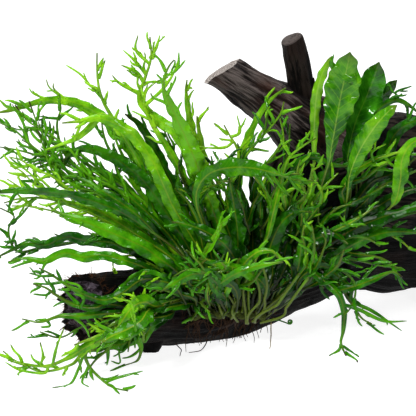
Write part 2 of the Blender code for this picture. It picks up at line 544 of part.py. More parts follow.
    leaf("long_right_leaf_2", 11, (8, 10, 14, 16, 16), colour="deep", roll=14, tip=0.95, stem=0.25, lean=-12,
         route=[(302, 264), (326, 247), (352, 230), (380, 218), (408, 209), (432, 204)]),
    leaf("long_right_leaf_3", 10, (18, 18, 16, 14), colour="mid", roll=-10, tip=0.95, stem=0.2, lean=22, ahead=7,
         route=[(330, 240), (352, 222), (378, 206), (404, 192), (430, 186)]),
    leaf("spiky_leaf", 7, (14, 2, -4, -4), colour="bright", roll=-12, tip=0.8, stem=0.2,
         route=[(308, 257), (316, 240), (334, 231), (352, 222), (372, 209)],
         prongs=[(0.45, -1, [(318, 222)], 3), (0.68, -1, [(340, 216)], 2.6), (0.84, -1, [(360, 210)], 2.4)]),
    leaf("level_laced_frond", 8, (19, 16, 12, 10), colour="bright", roll=10, tip=0.8, stem=0.3, ahead=1.5,
         route=[(327, 242), (336, 206), (350, 176), (370, 162), (392, 154), (414, 150)],
         prongs=[(0.72, -1, [(372, 152), (386, 144)], 2.8), (0.80, 1, [(394, 166), (410, 165)], 2.8)]),
    # the hanging ones at the right front
    leaf("hanging_frond", 7, (8, -14, -20, -22, -26), colour="mid", roll=10, tip=0.85, stem=0.2, lean=2, ahead=3,
         route=[(262, 311), (282, 288), (302, 268), (320, 278), (338, 294), (344, 312), (343, 332), (341, 343),
                (346, 356)],
         prongs=[(0.68, 1, [(362, 311), (384, 321), (407, 321)], 4.5), (0.93, 1, [(350, 351), (359, 357)], 2.4)]),
    leaf("right_curled_frond", 7, (10, 2, 0, 2, 4), colour="mid", roll=-8, tip=0.85, stem=0.2, lean=-15,
         route=[(303, 267), (314, 276), (332, 290), (352, 287), (374, 279), (392, 272), (402, 277)],
         prongs=[(0.55, 1, [(352, 300), (374, 312), (402, 331)], 4)]),
    leaf("finger_cluster", 10, (12, -2, -8, -8), colour="deep", roll=14, tip=0.75, stem=0.12,
         route=[(306, 262), (312, 258), (324, 264), (338, 276), (352, 286), (366, 279)],
         prongs=[(0.42, -1, [(334, 258), (350, 264)], 3.4), (0.60, -1, [(352, 274), (367, 271)], 3.4)]),
    # behind
    leaf("rear_leaf_1", 13, (30, 48, 78, 106, 128), colour="deep", tip=0.95, roll=20, rear=True,
         route=[(226, 236), (214, 220), (202, 217), (192, 221), (186, 236)]),
    leaf("rear_leaf_2", 13, (46, 64, 92, 120, 140), colour="mid", tip=0.95, roll=-20, rear=True,
         route=[(256, 214), (262, 200), (266, 200), (268, 206), (268, 222)]),
    leaf("rear_leaf_3", 12, (12, 34, 62, 86, 104), colour="mid", tip=0.95, roll=10, rear=True,
         route=[(200, 251), (182, 228), (164, 218), (150, 224), (142, 240)]),
]

LEAF_COLOURS = {
    "bright": (0.16, 0.42, 0.03),
    "mid": (0.06, 0.24, 0.02),
    "deep": (0.02, 0.11, 0.02),
}


def free_path(spec, tree):
    """The middle line of a leaf as a fine curve through its spots, brought in front of the wood."""
    count = len(spec["route"])
    share = np.linspace(0, 1, count)
    depths = np.interp(share, np.linspace(0, 1, len(spec["depth"])), spec["depth"])
    depths = depths + spec["lean"] * np.clip(share * 3.0, 0.0, 1.0)
    path = smooth_path([spot(pixel, depth) for pixel, depth in zip(spec["route"], depths)], 50)
    if spec["rear"]:
        return path
    across, _ = blade_frames(path, spec["roll"])
    return pass_in_front(path, across, half_widths(spec, np.linspace(0, 1, len(path))), tree, spec["ahead"])


def half_widths(spec, shares):
    """Half the leaf's width: a thin stem, a blade that swells and narrows again, then a finger."""
    inner = np.clip((shares - spec["stem"]) / (spec["tip"] - spec["stem"]), 0.0, 1.0)
    swell = np.sin(math.pi * inner ** spec["skew"]) ** 0.75
    finger = np.clip((shares - spec["tip"]) / (1.001 - spec["tip"]), 0.0, 1.0)
    thin = STEM_WIDTH + (FINGERTIP_WIDTH - STEM_WIDTH) * finger
    return 0.5 * (thin + np.maximum(spec["width"] * MM - thin, 0.0) * swell)


def blade_frames(path, roll):
    """For each place on a path, the direction across the blade and the direction out of it."""
    along = tangents(path)
    sight = path - EYE
    sight /= np.linalg.norm(sight, axis=1)[:, None]
    across = np.cross(along, sight)
    across /= np.linalg.norm(across, axis=1)[:, None]
    out = np.cross(across, along)
    turn = math.radians(roll)
    return across * math.cos(turn) + out * math.sin(turn), out * math.cos(turn) - across * math.sin(turn)


def on_floor(point):
    """A leaf's edge never sinks below the floor that the leaf lies on."""
    return Vector((point[0], point[1], max(point[2], FLOOR_CLEARANCE)))


def leaf_rows(spec, length):
    """Shares of the leaf's length that get a row: even steps, and two close rows where a prong leaves."""
    shares = set(np.linspace(0, 1, max(4, round(length / ROW_SPACING) + 1)))
    doors = []
    for share, _, _, width in spec["prongs"]:
        half = 0.5 * max(width * MM, PRONG_WIDTH) / length
        low, high = share - half, min(share + half, 0.995)
        shares = {s for s in shares if s in (0.0, 1.0) or not low - 0.6 * half < s < high + 0.6 * half}
        shares |= {low, high}
        doors.append(low)
    return np.array(sorted(shares)), doors


def add_prong(mesh, first, last, prong, tree, rear):
    """A finger or lobe that grows from one edge of the blade: a strip two points wide that narrows to its tip."""
    _, _, spots, width = prong
    root = 0.5 * (np.array(first.co) + np.array(last.co))
    path = smooth_path([root] + [spot(pixel, root[1] / MM) for pixel in spots], len(spots) + 2)[1:]
    share = np.linspace(0, 1, len(path))
    lobe = np.sin(math.pi * (0.35 + 0.65 * share)) if width > LOBE_WIDTH else 1 - share
    halves = 0.5 * (FINGERTIP_WIDTH + (0.8 * width * MM - FINGERTIP_WIDTH) * lobe)
    across, _ = blade_frames(path, 0.0)
    if not rear:
        path = pass_in_front(path, across, halves, tree)
    if np.dot(across[0], np.array(last.co) - np.array(first.co)) < 0:
        across = -across
    row = [first, last]
    for place, side, half in zip(path, across, halves):
        new = [mesh.verts.new(on_floor(place - side * half)), mesh.verts.new(on_floor(place + side * half))]
        mesh.faces.new((row[0], row[1], new[1], new[0]))
        row = new


def leaf_mesh(spec, tree):
    """The leaf's middle surface: rows of three points from stem to tip, folded at the midrib, and its prongs."""
    line = free_path(spec, tree)
    shares, doors = leaf_rows(spec, path_length(line))
    path = smooth_path(line, shares=shares)
    across, out = blade_frames(path, spec["roll"])
    mesh = bmesh.new()
    rows = []
    for place, side, lift, half in zip(path, across, out, half_widths(spec, shares)):
        fold = lift * half * BLADE_FOLD
        rows.append([mesh.verts.new(on_floor(place - side * half + fold)), mesh.verts.new(on_floor(place)),
                     mesh.verts.new(on_floor(place + side * half + fold))])
    for low, high in zip(rows, rows[1:]):
        mesh.faces.new((low[0], low[1], high[1], high[0]))
        mesh.faces.new((low[1], low[2], high[2], high[1]))
    for door, prong in zip(doors, spec["prongs"]):
        number = int(np.argmin(np.abs(shares - door)))
        column = 0 if prong[1] < 0 else 2
        add_prong(mesh, rows[number][column], rows[number + 1][column], prong, tree, spec["rear"])
    bmesh.ops.recalc_face_normals(mesh, faces=mesh.faces)
    data = bpy.data.meshes.new(spec["name"])
    mesh.to_mesh(data)
    mesh.free()
    return data


def build_leaf(spec, parts, materials, tree):
    thing = place_object(spec["name"], leaf_mesh(spec, tree), parts, materials[spec["colour"]])
    shell = thing.modifiers.new("thickness", "SOLIDIFY")
    shell.thickness = LEAF_THICKNESS
    shell.offset = 0.0
    return thing


def main():
    for thing in list(bpy.data.objects):
        bpy.data.objects.remove(thing)
    parts = bpy.data.collections.new("java_fern_on_driftwood")
    cutters = bpy.data.collections.new("cutters")
    bpy.context.scene.collection.children.link(parts)
    bpy.context.scene.collection.children.link(cutters)
    rooms = build_driftwood(parts, cutters)
    tree = surface_tree(rooms + build_rhizomes(parts, rooms))
    build_fiddlehead(parts)
    greens = {name: finish(f"{name} leaf", rgb, 0.35) for name, rgb in LEAF_COLOURS.items()}
    for spec in LEAVES:
        build_leaf(spec, parts, greens, tree)


main()
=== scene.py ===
# %% [markdown]
# # A laced java fern on driftwood
# The real thing is an aquarium plant about 42 cm wide: a fern whose strap leaves end in forked, antler-like
# tips, grown on a dark, forked piece of driftwood. This lesson dresses the plain CAD model of it. Every
# surface is a shape worked out with numpy on a grid, and every finish is made of nodes.

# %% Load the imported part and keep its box
import math

import bpy
import numpy as np
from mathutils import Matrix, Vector
from mathutils.bvhtree import BVHTree


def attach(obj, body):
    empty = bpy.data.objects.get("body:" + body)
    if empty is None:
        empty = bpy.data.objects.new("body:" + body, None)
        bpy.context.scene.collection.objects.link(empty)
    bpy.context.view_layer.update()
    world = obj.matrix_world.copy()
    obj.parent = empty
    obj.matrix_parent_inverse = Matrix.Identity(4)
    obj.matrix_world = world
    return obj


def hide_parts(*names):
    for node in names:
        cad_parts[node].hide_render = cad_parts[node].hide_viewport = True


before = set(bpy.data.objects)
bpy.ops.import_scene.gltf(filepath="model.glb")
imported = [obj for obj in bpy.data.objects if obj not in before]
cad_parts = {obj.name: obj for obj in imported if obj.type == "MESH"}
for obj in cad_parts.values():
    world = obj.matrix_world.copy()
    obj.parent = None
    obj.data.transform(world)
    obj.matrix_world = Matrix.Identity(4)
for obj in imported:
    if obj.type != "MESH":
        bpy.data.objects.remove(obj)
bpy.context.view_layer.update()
MM = 0.001

# %% [markdown]
# ## The view
# The photograph looks down on the plant at about 20 degrees from just under a metre away. The camera comes
# first, because places on the plant are picked as pixels of the photograph with a depth, and this camera's
# geometry turns them into metres. The other way would be to measure every leaf in space, which one picture
# can't give.

# %% Camera
PIXEL_CENTRE = 208.0
FOCAL_PIXELS = 1117.0
SENSOR_MM = 36.0
VIEW_DISTANCE = 0.95
VIEW_RISE = math.radians(20)
AIM_HEIGHT = 0.123
RIGHT = np.array([1.0, 0.0, 0.0])
FORWARD = np.array([0.0, math.cos(VIEW_RISE), -math.sin(VIEW_RISE)])
UPWARD = np.array([0.0, math.sin(VIEW_RISE), math.cos(VIEW_RISE)])
EYE = np.array([0.0, 0.0, AIM_HEIGHT]) - VIEW_DISTANCE * FORWARD

camera = bpy.data.objects.new("camera", bpy.data.cameras.new("camera"))
bpy.context.scene.collection.objects.link(camera)
camera.location = EYE
camera.rotation_euler = (math.radians(90) - VIEW_RISE, 0.0, 0.0)
camera.data.sensor_width = SENSOR_MM
camera.data.lens = SENSOR_MM * FOCAL_PIXELS / (2 * PIXEL_CENTRE)
bpy.context.scene.camera = camera
print("eye at", EYE.round(3), "lens", round(camera.data.lens, 1), "mm")

# %% From pixels to places
FLOOR_CLEARANCE = 0.75 * MM
STEPS_A_SPAN = 12


def pixels_of(text):
    """Pixels of the photograph, written as x,y pairs with blanks between them."""
    return [tuple(map(float, pair.split(","))) for pair in text.split()]


def spots(pixels, depths, floor=FLOOR_CLEARANCE):
    """Places in metres: each pixel's ray, cut at its depth in mm behind the origin, or at the floor."""
    pixels = np.asarray(pixels, dtype=float).reshape(-1, 2)
    depths = np.broadcast_to(np.asarray(depths, dtype=float), len(pixels)) * MM
    rays = (FORWARD * FOCAL_PIXELS + np.outer(PIXEL_CENTRE - pixels[:, 1], UPWARD)
            + np.outer(pixels[:, 0] - PIXEL_CENTRE, RIGHT))
    places = EYE + rays * ((depths - EYE[1]) / rays[:, 1])[:, None]
    grounded = EYE + rays * ((floor - EYE[2]) / rays[:, 2])[:, None]
    return np.where((places[:, 2] < floor)[:, None], grounded, places)


def spline(values, at):
    """A curve through values, read at fractional counts: cubic spans that lean like their neighbours."""
    values = np.asarray(values, dtype=float)
    padded = np.concatenate([2 * values[:1] - values[1:2], values, 2 * values[-1:] - values[-2:-1]])
    start = np.clip(np.asarray(at).astype(int), 0, len(values) - 2)
    t = (at - start)[:, None]
    a, b, c, d = (padded[start + k] for k in range(4))
    return b + 0.5 * t * (c - a + t * (2 * a - 5 * b + 4 * c - d + t * (3 * (b - c) + d - a)))


def path_through(points, count):
    """Places evenly spaced on the spline through points, by lengths measured in short steps along it."""
    fine = spline(points, np.linspace(0, len(points) - 1, STEPS_A_SPAN * (len(points) - 1) + 1))
    along = lengths(fine)
    wanted = np.linspace(0.0, 1.0, count) * along[-1]
    return np.column_stack([np.interp(wanted, along, fine[:, k]) for k in range(3)])


def lengths(path):
    """How far along the path each of its places is: the running sum of its steps."""
    return np.concatenate([[0.0], np.cumsum(np.linalg.norm(np.diff(path, axis=0), axis=1))])


def tangents(path):
    """Unit directions along a path: the step from the place before to the place after, made one long."""
    steps = np.gradient(path, axis=0)
    return steps / np.maximum(np.linalg.norm(steps, axis=1), 1e-9)[:, None]


print("pixel (208, 208) at depth 0 is", spots([(208, 208)], 0).round(3)[0])

# %% [markdown]
# ## Floor and light
# The picture is a cut-out on white, and the clump is nearly black inside. A bright sky all round would
# light it inside too, so the sky is faint and most of the light comes from one wide softbox overhead, which
# leaves shade under every leaf. The floor glows by itself, so that it stays white. Two small boxes at the
# sides give the wet leaves their highlights, and one behind edges the tips.

# %% Colours and nodes
def linear(code):
    """A hex colour turned to linear light: ((c + 0.055) / 1.055) to the power 2.4, or c / 12.92 if dark."""
    shares = np.array([int(code[k:k + 2], 16) for k in (1, 3, 5)]) / 255
    light = np.where(shares <= 0.04045, shares / 12.92, ((shares + 0.055) / 1.055) ** 2.4)
    return (*light.tolist(), 1.0)


def material_of(name, roughness, **values):
    """A new material with the Principled shader's own sockets set."""
    material = bpy.data.materials.new(name)
    material.use_nodes = True
    shader = material.node_tree.nodes["Principled BSDF"]
    shader.inputs["Roughness"].default_value = roughness
    for socket, value in values.items():
        shader.inputs[socket.replace("_", " ")].default_value = value
    return material, material.node_tree, shader


def node(tree, kind, inputs=None, output=0, stops=(), **settings):
    """Adds one node and returns one of its outputs. inputs gives each socket a value, or another node's
    output to link. stops are a ramp's positions and hex colours: its two ends, then what is between."""
    new = tree.nodes.new("ShaderNode" + kind)
    for name, value in settings.items():
        setattr(new, name, value)
    for socket, value in (inputs or {}).items():
        if isinstance(value, bpy.types.NodeSocket):
            tree.links.new(value, new.inputs[socket])
        else:
            new.inputs[socket].default_value = value
    for number, (position, colour) in enumerate(stops):
        steps = new.color_ramp.elements
        step = steps[number] if number < 2 else steps.new(position)
        step.position = position
        step.color = linear(colour)
    return new.outputs[output]


print("leaf green in linear light:", np.round(linear("#2c7602")[:3], 3))

# %% Meshes
def make_mesh(name, points, quads, triangles=(), looks=(), numbers=None, **values):
    """A smooth-shaded mesh object at the origin. values are attributes, one row for each point."""
    mesh = bpy.data.meshes.new(name)
    faces = np.asarray(quads).tolist() + np.asarray(triangles).tolist()
    mesh.from_pydata(np.asarray(points).tolist(), [], faces)
    mesh.polygons.foreach_set("use_smooth", np.ones(len(faces), dtype=bool))
    for key, rows in values.items():
        kind, field = ("FLOAT_VECTOR", "vector") if np.ndim(rows) == 2 else ("FLOAT", "value")
        attribute = mesh.attributes.new(key, kind, "POINT")
        attribute.data.foreach_set(field, np.asarray(rows, dtype=np.float32).ravel())
    for look in looks:
        mesh.materials.append(look)
    if numbers is not None:
        mesh.polygons.foreach_set("material_index", np.asarray(numbers, dtype=np.int32))
    thing = bpy.data.objects.new(name, mesh)
    bpy.context.scene.collection.objects.link(thing)
    return thing


# %% Floor and lamps
FLOOR_REACH = 6
FLOOR_GLOW = 0.88
SKY = 0.06
LAMPS = {
    "softbox overhead": ((-0.2, 0.1, 3.0), 1.8, 96),
    "softbox above left": ((-0.8, -0.9, 1.3), 0.3, 24),
    "softbox front right": ((0.9, -1.2, 0.8), 0.3, 5),
    "softbox behind": ((0.3, 1.2, 1.0), 0.4, 7),
}
PLANT_MIDDLE = Vector((0.0, 0.0, 0.12))

paper, _, _ = material_of("white light table", 0.9, Base_Color=linear("#9c9c9c"),
                          Emission_Color=linear("#ffffff"), Emission_Strength=FLOOR_GLOW)
corners = [(FLOOR_REACH * x, FLOOR_REACH * y, 0) for x, y in ((-1, -1), (1, -1), (1, 1), (-1, 1))]
floor = make_mesh("floor", corners, [(0, 1, 2, 3)], looks=[paper])

for name, (place, size, power) in LAMPS.items():
    lamp = bpy.data.objects.new(name, bpy.data.lights.new(name, "AREA"))
    bpy.context.scene.collection.objects.link(lamp)
    lamp.data.size = size
    lamp.data.energy = power
    lamp.location = place
    lamp.rotation_euler = (PLANT_MIDDLE - Vector(place)).to_track_quat("-Z", "Y").to_euler()

world = bpy.data.worlds.new("white room")
bpy.context.scene.world = world
world.use_nodes = True
world.node_tree.nodes["Background"].inputs["Color"].default_value = linear("#ffffff")
world.node_tree.nodes["Background"].inputs["Strength"].default_value = SKY
bpy.context.scene.view_settings.view_transform = "Standard"
print("lamps:", list(LAMPS))

# %% [markdown]
# ## Driftwood: the shape
# Aquarium driftwood is a root or stump whose bark and soft wood have rotted away: dark, ridged lengthwise,
# pitted, and sawn or broken where it was taken. It could be sculpted by hand or remeshed from a rough
# block. Here each limb is a loft, lumpy ovals carried along a curved middle line, because the grain then
# follows the limb for free: every point remembers where it would be if the limb were straight, and both
# ridges and colour are drawn in that straight wood.

# %% Uneven heights on a grid
def uneven(rows, columns, steps_along, steps_around, seed):
    """Smooth random heights from -1 to 1, closed around the limb, eased by 3t squared less 2t cubed."""
    lattice = np.random.default_rng(seed).uniform(-1, 1, (steps_along + 2, steps_around))
    v = np.linspace(0, steps_along, rows)
    u = np.arange(columns) * steps_around / columns
    i, j = v.astype(int), u.astype(int)
    s, t = (v - i)[:, None], (u - j)[None, :]
    s, t = s * s * (3 - 2 * s), t * t * (3 - 2 * t)
    here, there = lattice[i], lattice[i + 1]
    low = here[:, j] * (1 - t) + here[:, (j + 1) % steps_around] * t
    high = there[:, j] * (1 - t) + there[:, (j + 1) % steps_around] * t
    return low * (1 - s) + high * s


def grain(rows, columns, length, girth, seed, roughness=1.0):
    """Relief of weathered wood in metres, mostly carved in: long ridges, finer ones, cracks and pits."""
    def layer(along_mm, around_mm, number):
        """One layer of uneven heights, its bumps so many mm long and wide."""
        steps_along = max(1, round(length / along_mm / MM))
        steps_around = max(4, round(girth / around_mm / MM))
        return uneven(rows, columns, steps_along, steps_around, seed + number)

    ridges = (-np.abs(layer(55, 11, 1)) * 2.2 - np.abs(layer(38, 5.5, 2)) * 1.1
              - np.abs(layer(20, 2.6, 3)) * 0.5)
    cracks = (-2.4 * np.clip(0.16 - np.abs(layer(70, 15, 4)), 0, 1) / 0.16
              * np.clip(layer(40, 30, 5), 0, 1))
    pits = -3.0 * np.clip(layer(7, 5, 6) - 0.62, 0, 1) * np.clip(1.3 * layer(60, 40, 7) + 0.6, 0, 1)
    lumps = 1.6 * layer(26, 20, 8) + 0.5 * layer(9, 7, 9)
    return roughness * (ridges + cracks + pits + lumps) * MM


sample = grain(40, 60, 100 * MM, 200 * MM, 1)
print("the grain goes from", round(sample.min() / MM, 1), "to", round(sample.max() / MM, 1), "mm")

# %% A limb as a grid
SOLE = 10.5 * MM
FACE_RINGS = 22
END_GRAIN_SHIFT = 0.1


def quads_of(rows, columns, start=0):
    """Four-cornered faces of a grid of points counted row by row and joined to itself around."""
    row, column = np.meshgrid(np.arange(rows - 1), np.arange(columns), indexing="ij")
    here = start + row * columns + column
    beside = start + row * columns + (column + 1) % columns
    return np.stack([here, beside, beside + columns, here + columns], axis=-1).reshape(-1, 4)


def fan(rim, middle, flip=False):
    """Triangles from a ring of point numbers to one point."""
    rim = np.asarray(rim)
    across = np.roll(rim, -1)
    order = (across, rim) if flip else (rim, across)
    return np.column_stack([*order, np.full(len(rim), middle)])


def worn_flat(heights):
    """Wood lower than the sole lies flat on the floor, and up to three times as high it is eased down."""
    return np.where(heights < SOLE, 0.0, np.where(heights < 3 * SOLE, 1.5 * (heights - SOLE), heights))


def limb_grid(stations, rows, columns, seed, turn=0.0, lump=0.07, roughness=1.0):
    """Ovals along the stations' spline, pushed out by cosines of 3 and 5 turns and by the grain."""
    at = np.linspace(0, len(stations) - 1, rows)
    picks = spline(stations, at)
    centres = spots(picks[:, :2], picks[:, 2], floor=-1.0)
    along = tangents(centres)
    across = np.array([0.0, 1.0, 0.0]) - along * along[:, 1:2]
    across /= np.linalg.norm(across, axis=1)[:, None]
    rise = np.cross(along, across)
    rise *= np.sign((rise @ np.array([-0.2, 0.0, 1.0])).sum())
    angle = np.linspace(0.0, 2 * math.pi, columns, endpoint=False)[None, :]
    swell = (1 + lump * np.cos(3 * angle + turn + 0.5 * at[:, None])
             + 0.6 * lump * np.cos(5 * angle - at[:, None]))
    upward = np.sin(angle) * swell * picks[:, 3:4] * MM
    sideways = np.cos(angle) * swell * picks[:, 4:5] * MM
    size = np.hypot(upward, sideways)
    far = lengths(centres)
    relief = grain(rows, columns, far[-1], 2 * math.pi * size.mean(), seed, roughness)
    push = 1 + relief / size
    points = (centres[:, None, :] + (upward * push)[..., None] * rise[:, None, :]
              + (sideways * push)[..., None] * across[:, None, :])
    points[..., 2] = worn_flat(points[..., 2])
    radius = size.mean()
    straight = np.stack([far[:, None] + 0 * angle, radius * np.cos(angle) + 0 * at[:, None],
                         radius * np.sin(angle) + 0 * at[:, None]], axis=-1)
    return points, straight, relief


def cut_rows(points, straight, relief, place, outward, rough=None):
    """Shortens each lengthwise line of a limb to where it meets a plane, and spaces its points again."""
    outward = np.asarray(outward) / np.linalg.norm(outward)
    beyond = (points - place) @ outward
    if rough is not None:
        beyond = beyond + rough
    rows = len(points)
    first = np.where((beyond > 0).any(axis=0), np.argmax(beyond > 0, axis=0), rows - 1)
    columns = np.arange(points.shape[1])
    before = np.maximum(first - 1, 0)
    low, high = beyond[before, columns], beyond[first, columns]
    end = np.where(high > 0, before + (0 - low) / np.maximum(high - low, 1e-9), rows - 1.0)
    wanted = np.outer(np.linspace(0, 1, rows), end)
    i = np.minimum(wanted.astype(int), rows - 2)
    t = (wanted - i)[..., None]
    grids = (points, straight, relief[..., None])
    points, straight, relief = [(1 - t) * grid[i, columns] + t * grid[i + 1, columns] for grid in grids]
    return points, straight, relief[..., 0]


print("faces of 3 rings of 8 points:", len(quads_of(3, 8)))

# %% A limb as a mesh
def closing_rings(points, straight, end_relief):
    """Rings that close a limb's far end, in the wood and in the straight wood, with its end relief."""
    rim, columns = points[-1], points.shape[1]
    middle = rim.mean(axis=0)
    normal = np.cross(rim[columns // 4] - middle, rim[0] - middle)
    normal /= np.linalg.norm(normal)
    normal *= np.sign(normal @ (middle - points[-8].mean(axis=0)))
    inward = np.linspace(0, 1, FACE_RINGS + 1)[1:-1]
    face = rim[None] * (1 - inward)[:, None, None] + middle * inward[:, None, None]
    if end_relief is not None:
        face = face + end_relief(inward, columns)[..., None] * normal
    face_straight = straight[-1][None] * (1 - inward)[:, None, None]
    face_straight[..., 0] = straight[-1][..., 0].mean() + END_GRAIN_SHIFT
    return face, face_straight


def limb_piece(name, grids, end_look, looks, end_relief=None, start_bulge=0.0, bark_rings=0):
    """The limb's side, then rings that close its far end, and a fan at its near end. end_relief says how far
    each ring's points stand out from the cut face, in metres."""
    points, straight, relief = grids
    rows, columns = points.shape[:2]
    face, face_straight = closing_rings(points, straight, end_relief)
    near = points[0].mean(axis=0)
    near_end = near + start_bulge * (near - points[4].mean(axis=0))
    every = np.concatenate([points.reshape(-1, 3), face.reshape(-1, 3), [face[-1].mean(axis=0)], [near_end]])
    straight_all = np.concatenate([straight.reshape(-1, 3), face_straight.reshape(-1, 3),
                                   [face_straight[-1].mean(axis=0)], [straight[0].mean(axis=0)]])
    hollow = np.concatenate([relief.ravel(), np.zeros(len(face) * columns + 2)]) / MM
    total = rows + len(face)
    quads = quads_of(total, columns)
    last = total * columns
    triangles = np.concatenate([fan(np.arange(columns) + (total - 1) * columns, last),
                                fan(np.arange(columns), last + 1, flip=True)])
    side = np.zeros(len(quads) + len(triangles), dtype=int)
    if end_look:
        side[(rows - 1 + bark_rings) * columns:len(quads)] = 1
        side[len(quads):len(quads) + columns] = 1
    first, second, fourth = (every[quads[:, k]] for k in (0, 1, 3))
    outward = first - points.mean(axis=(0, 1))
    facing = np.einsum("ij,ij->i", np.cross(second - first, fourth - first), outward)
    if facing[:(rows - 1) * columns].sum() < 0:
        quads, triangles = quads[:, ::-1], triangles[:, ::-1]
    return make_mesh(name, every, quads, triangles, looks, side, straight=straight_all, hollow=hollow)


# %% [markdown]
# ## Driftwood: the finish
# Wet driftwood is nearly black, with brown and reddish streaks along the grain, greyer on the ridges, which
# dry first, and the sawn face is a pale weathered grey. The finish also paints light and shade: it is darker
# low down and lighter higher up, and the trunk, feet and lower limb take a copy that is darker still, which
# paints the shade they lie in. Image textures would be simple, but a procedural finish follows the grain of
# every limb: noise is read in the straight wood, where fibres are about 2.5 mm wide and ten times as long,
# and the hollows of the relief are darkened, because dirt and shade gather there.

# %% Driftwood materials
GROWTH_RING = 2.2 * MM


def driftwood_finish(name, dark, mid, grey, warm, roughness, lift=0.02, low_shade=-0.34):
    """Weathered root wood: three tones mixed by noise along the grain, darker in the hollows, where dirt and
    shade gather, with painted shade low down and painted light higher up, reddish streaks and a bump of
    fibres."""
    material, tree, shader = material_of(name, roughness, Specular_IOR_Level=0.08)
    straight = node(tree, "Attribute", output="Vector", attribute_name="straight")
    hollow = node(tree, "Attribute", output="Fac", attribute_name="hollow")
    fibre_place = node(tree, "Mapping", {"Vector": straight, "Scale": (42, 400, 400)})
    fibres = node(tree, "TexNoise", {"Vector": fibre_place, "Scale": 1.0, "Detail": 5.0, "Roughness": 0.7,
                                     "Distortion": 0.8})
    streak_place = node(tree, "Mapping", {"Vector": straight, "Scale": (32, 150, 150)})
    streaks = node(tree, "TexNoise", {"Vector": streak_place, "Scale": 1.0, "Detail": 3.0})
    patches = node(tree, "TexNoise", {"Vector": straight, "Scale": 28.0, "Detail": 4.0})
    tone = node(tree, "Math", {0: fibres, 1: 1.7, 2: streaks}, operation="MULTIPLY_ADD")
    ridge = node(tree, "MapRange", {"Value": hollow, "From Min": -4.2, "From Max": 0.4, "To Min": -0.78,
                                    "To Max": -0.11})
    place = node(tree, "TexCoord", output="Object")
    level = node(tree, "SeparateXYZ", {0: place}, output=2)
    # Painted shade and light: the wood is darker low down and lighter higher up, by its height.
    shade_by_height = node(tree, "MapRange", {"Value": level, "From Min": 0.05, "From Max": 0.17, "To Min": low_shade,
                                    "To Max": lift})
    relief = node(tree, "Math", {0: tone, 1: ridge}, operation="ADD")
    height = node(tree, "Math", {0: relief, 1: shade_by_height}, operation="ADD")
    half = node(tree, "Math", {0: height, 1: 0.5}, operation="MULTIPLY")
    base = node(tree, "ValToRGB", {"Fac": half}, stops=((0.40, dark), (0.62, grey), (0.51, mid)))
    warmth = node(tree, "MapRange", {"Value": patches, "From Min": 0.52, "From Max": 0.68})
    amount = node(tree, "Math", {0: warmth, 1: streaks}, operation="MULTIPLY")
    colour = node(tree, "Mix", {0: amount, 6: base, 7: linear(warm)}, output=2, data_type="RGBA")
    bump = node(tree, "Bump", {"Strength": 1.0, "Distance": 3.4 * MM, "Height": tone})
    tree.links.new(colour, shader.inputs["Base Color"])
    tree.links.new(bump, shader.inputs["Normal"])
    return material


def sawn_finish(name, pale, dark):
    """End grain cut by a saw and gone grey: rings about the pith, fine scratches and small dark checks."""
    material, tree, shader = material_of(name, 0.8)
    straight = node(tree, "Attribute", output="Vector", attribute_name="straight")
    _, across, upward = node(tree, "SeparateXYZ", {0: straight}).node.outputs
    flat = node(tree, "CombineXYZ", {1: across, 2: upward})
    rings = node(tree, "TexWave", {"Vector": flat, "Scale": 0.16 / GROWTH_RING, "Distortion": 3.0,
                                   "Detail": 3.0, "Detail Scale": 2.0},
                 output="Fac", wave_type="RINGS", rings_direction="X")
    specks = node(tree, "TexNoise", {"Vector": flat, "Scale": 260.0, "Detail": 4.0})
    mixed = node(tree, "Math", {0: rings, 1: specks}, operation="MULTIPLY")
    colour = node(tree, "ValToRGB", {"Fac": mixed}, stops=((0.12, dark), (0.5, pale)))
    bump = node(tree, "Bump", {"Strength": 0.5, "Distance": 0.8 * MM, "Height": mixed})
    tree.links.new(colour, shader.inputs["Base Color"])
    tree.links.new(bump, shader.inputs["Normal"])
    return material


# Nearly black copy for the trunk, feet and lower limb: dark wood, darkened further as painted shade.
shaded_dark_wood = driftwood_finish("dark root wood in painted shade", "#010101", "#090706", "#3a322d", "#1e100a", 0.6, 0.10)
dry_wood = driftwood_finish("weathered root wood", "#070505", "#2e2725", "#625955", "#42281e", 0.6, 0.08)
stub_wood = driftwood_finish("dark stub wood", "#010101", "#060504", "#2c2520", "#1c0e09", 0.5)
sawn_wood = sawn_finish("sawn grey end grain", "#9c948e", "#625a55")
broken_wood = driftwood_finish("broken purple-grey heartwood", "#070505", "#2a2226", "#625862", "#3a2416",
                               0.7, 0.05, -0.06)
print("wood finishes:", [wood.name for wood in (shaded_dark_wood, dry_wood, stub_wood, sawn_wood, broken_wood)])

# %% [markdown]
# ## Driftwood: the limbs
# The trunk stands on two feet at the right, the lower limb runs left and towards the viewer with a small
# nub under it, and the upper limb rises to a pale sawn face, with a stub standing on it. Each has its
# stations: a pixel, a depth, a half height and a half depth in mm. One sculpted block would hide how the
# wood forks, so each limb is its own piece.

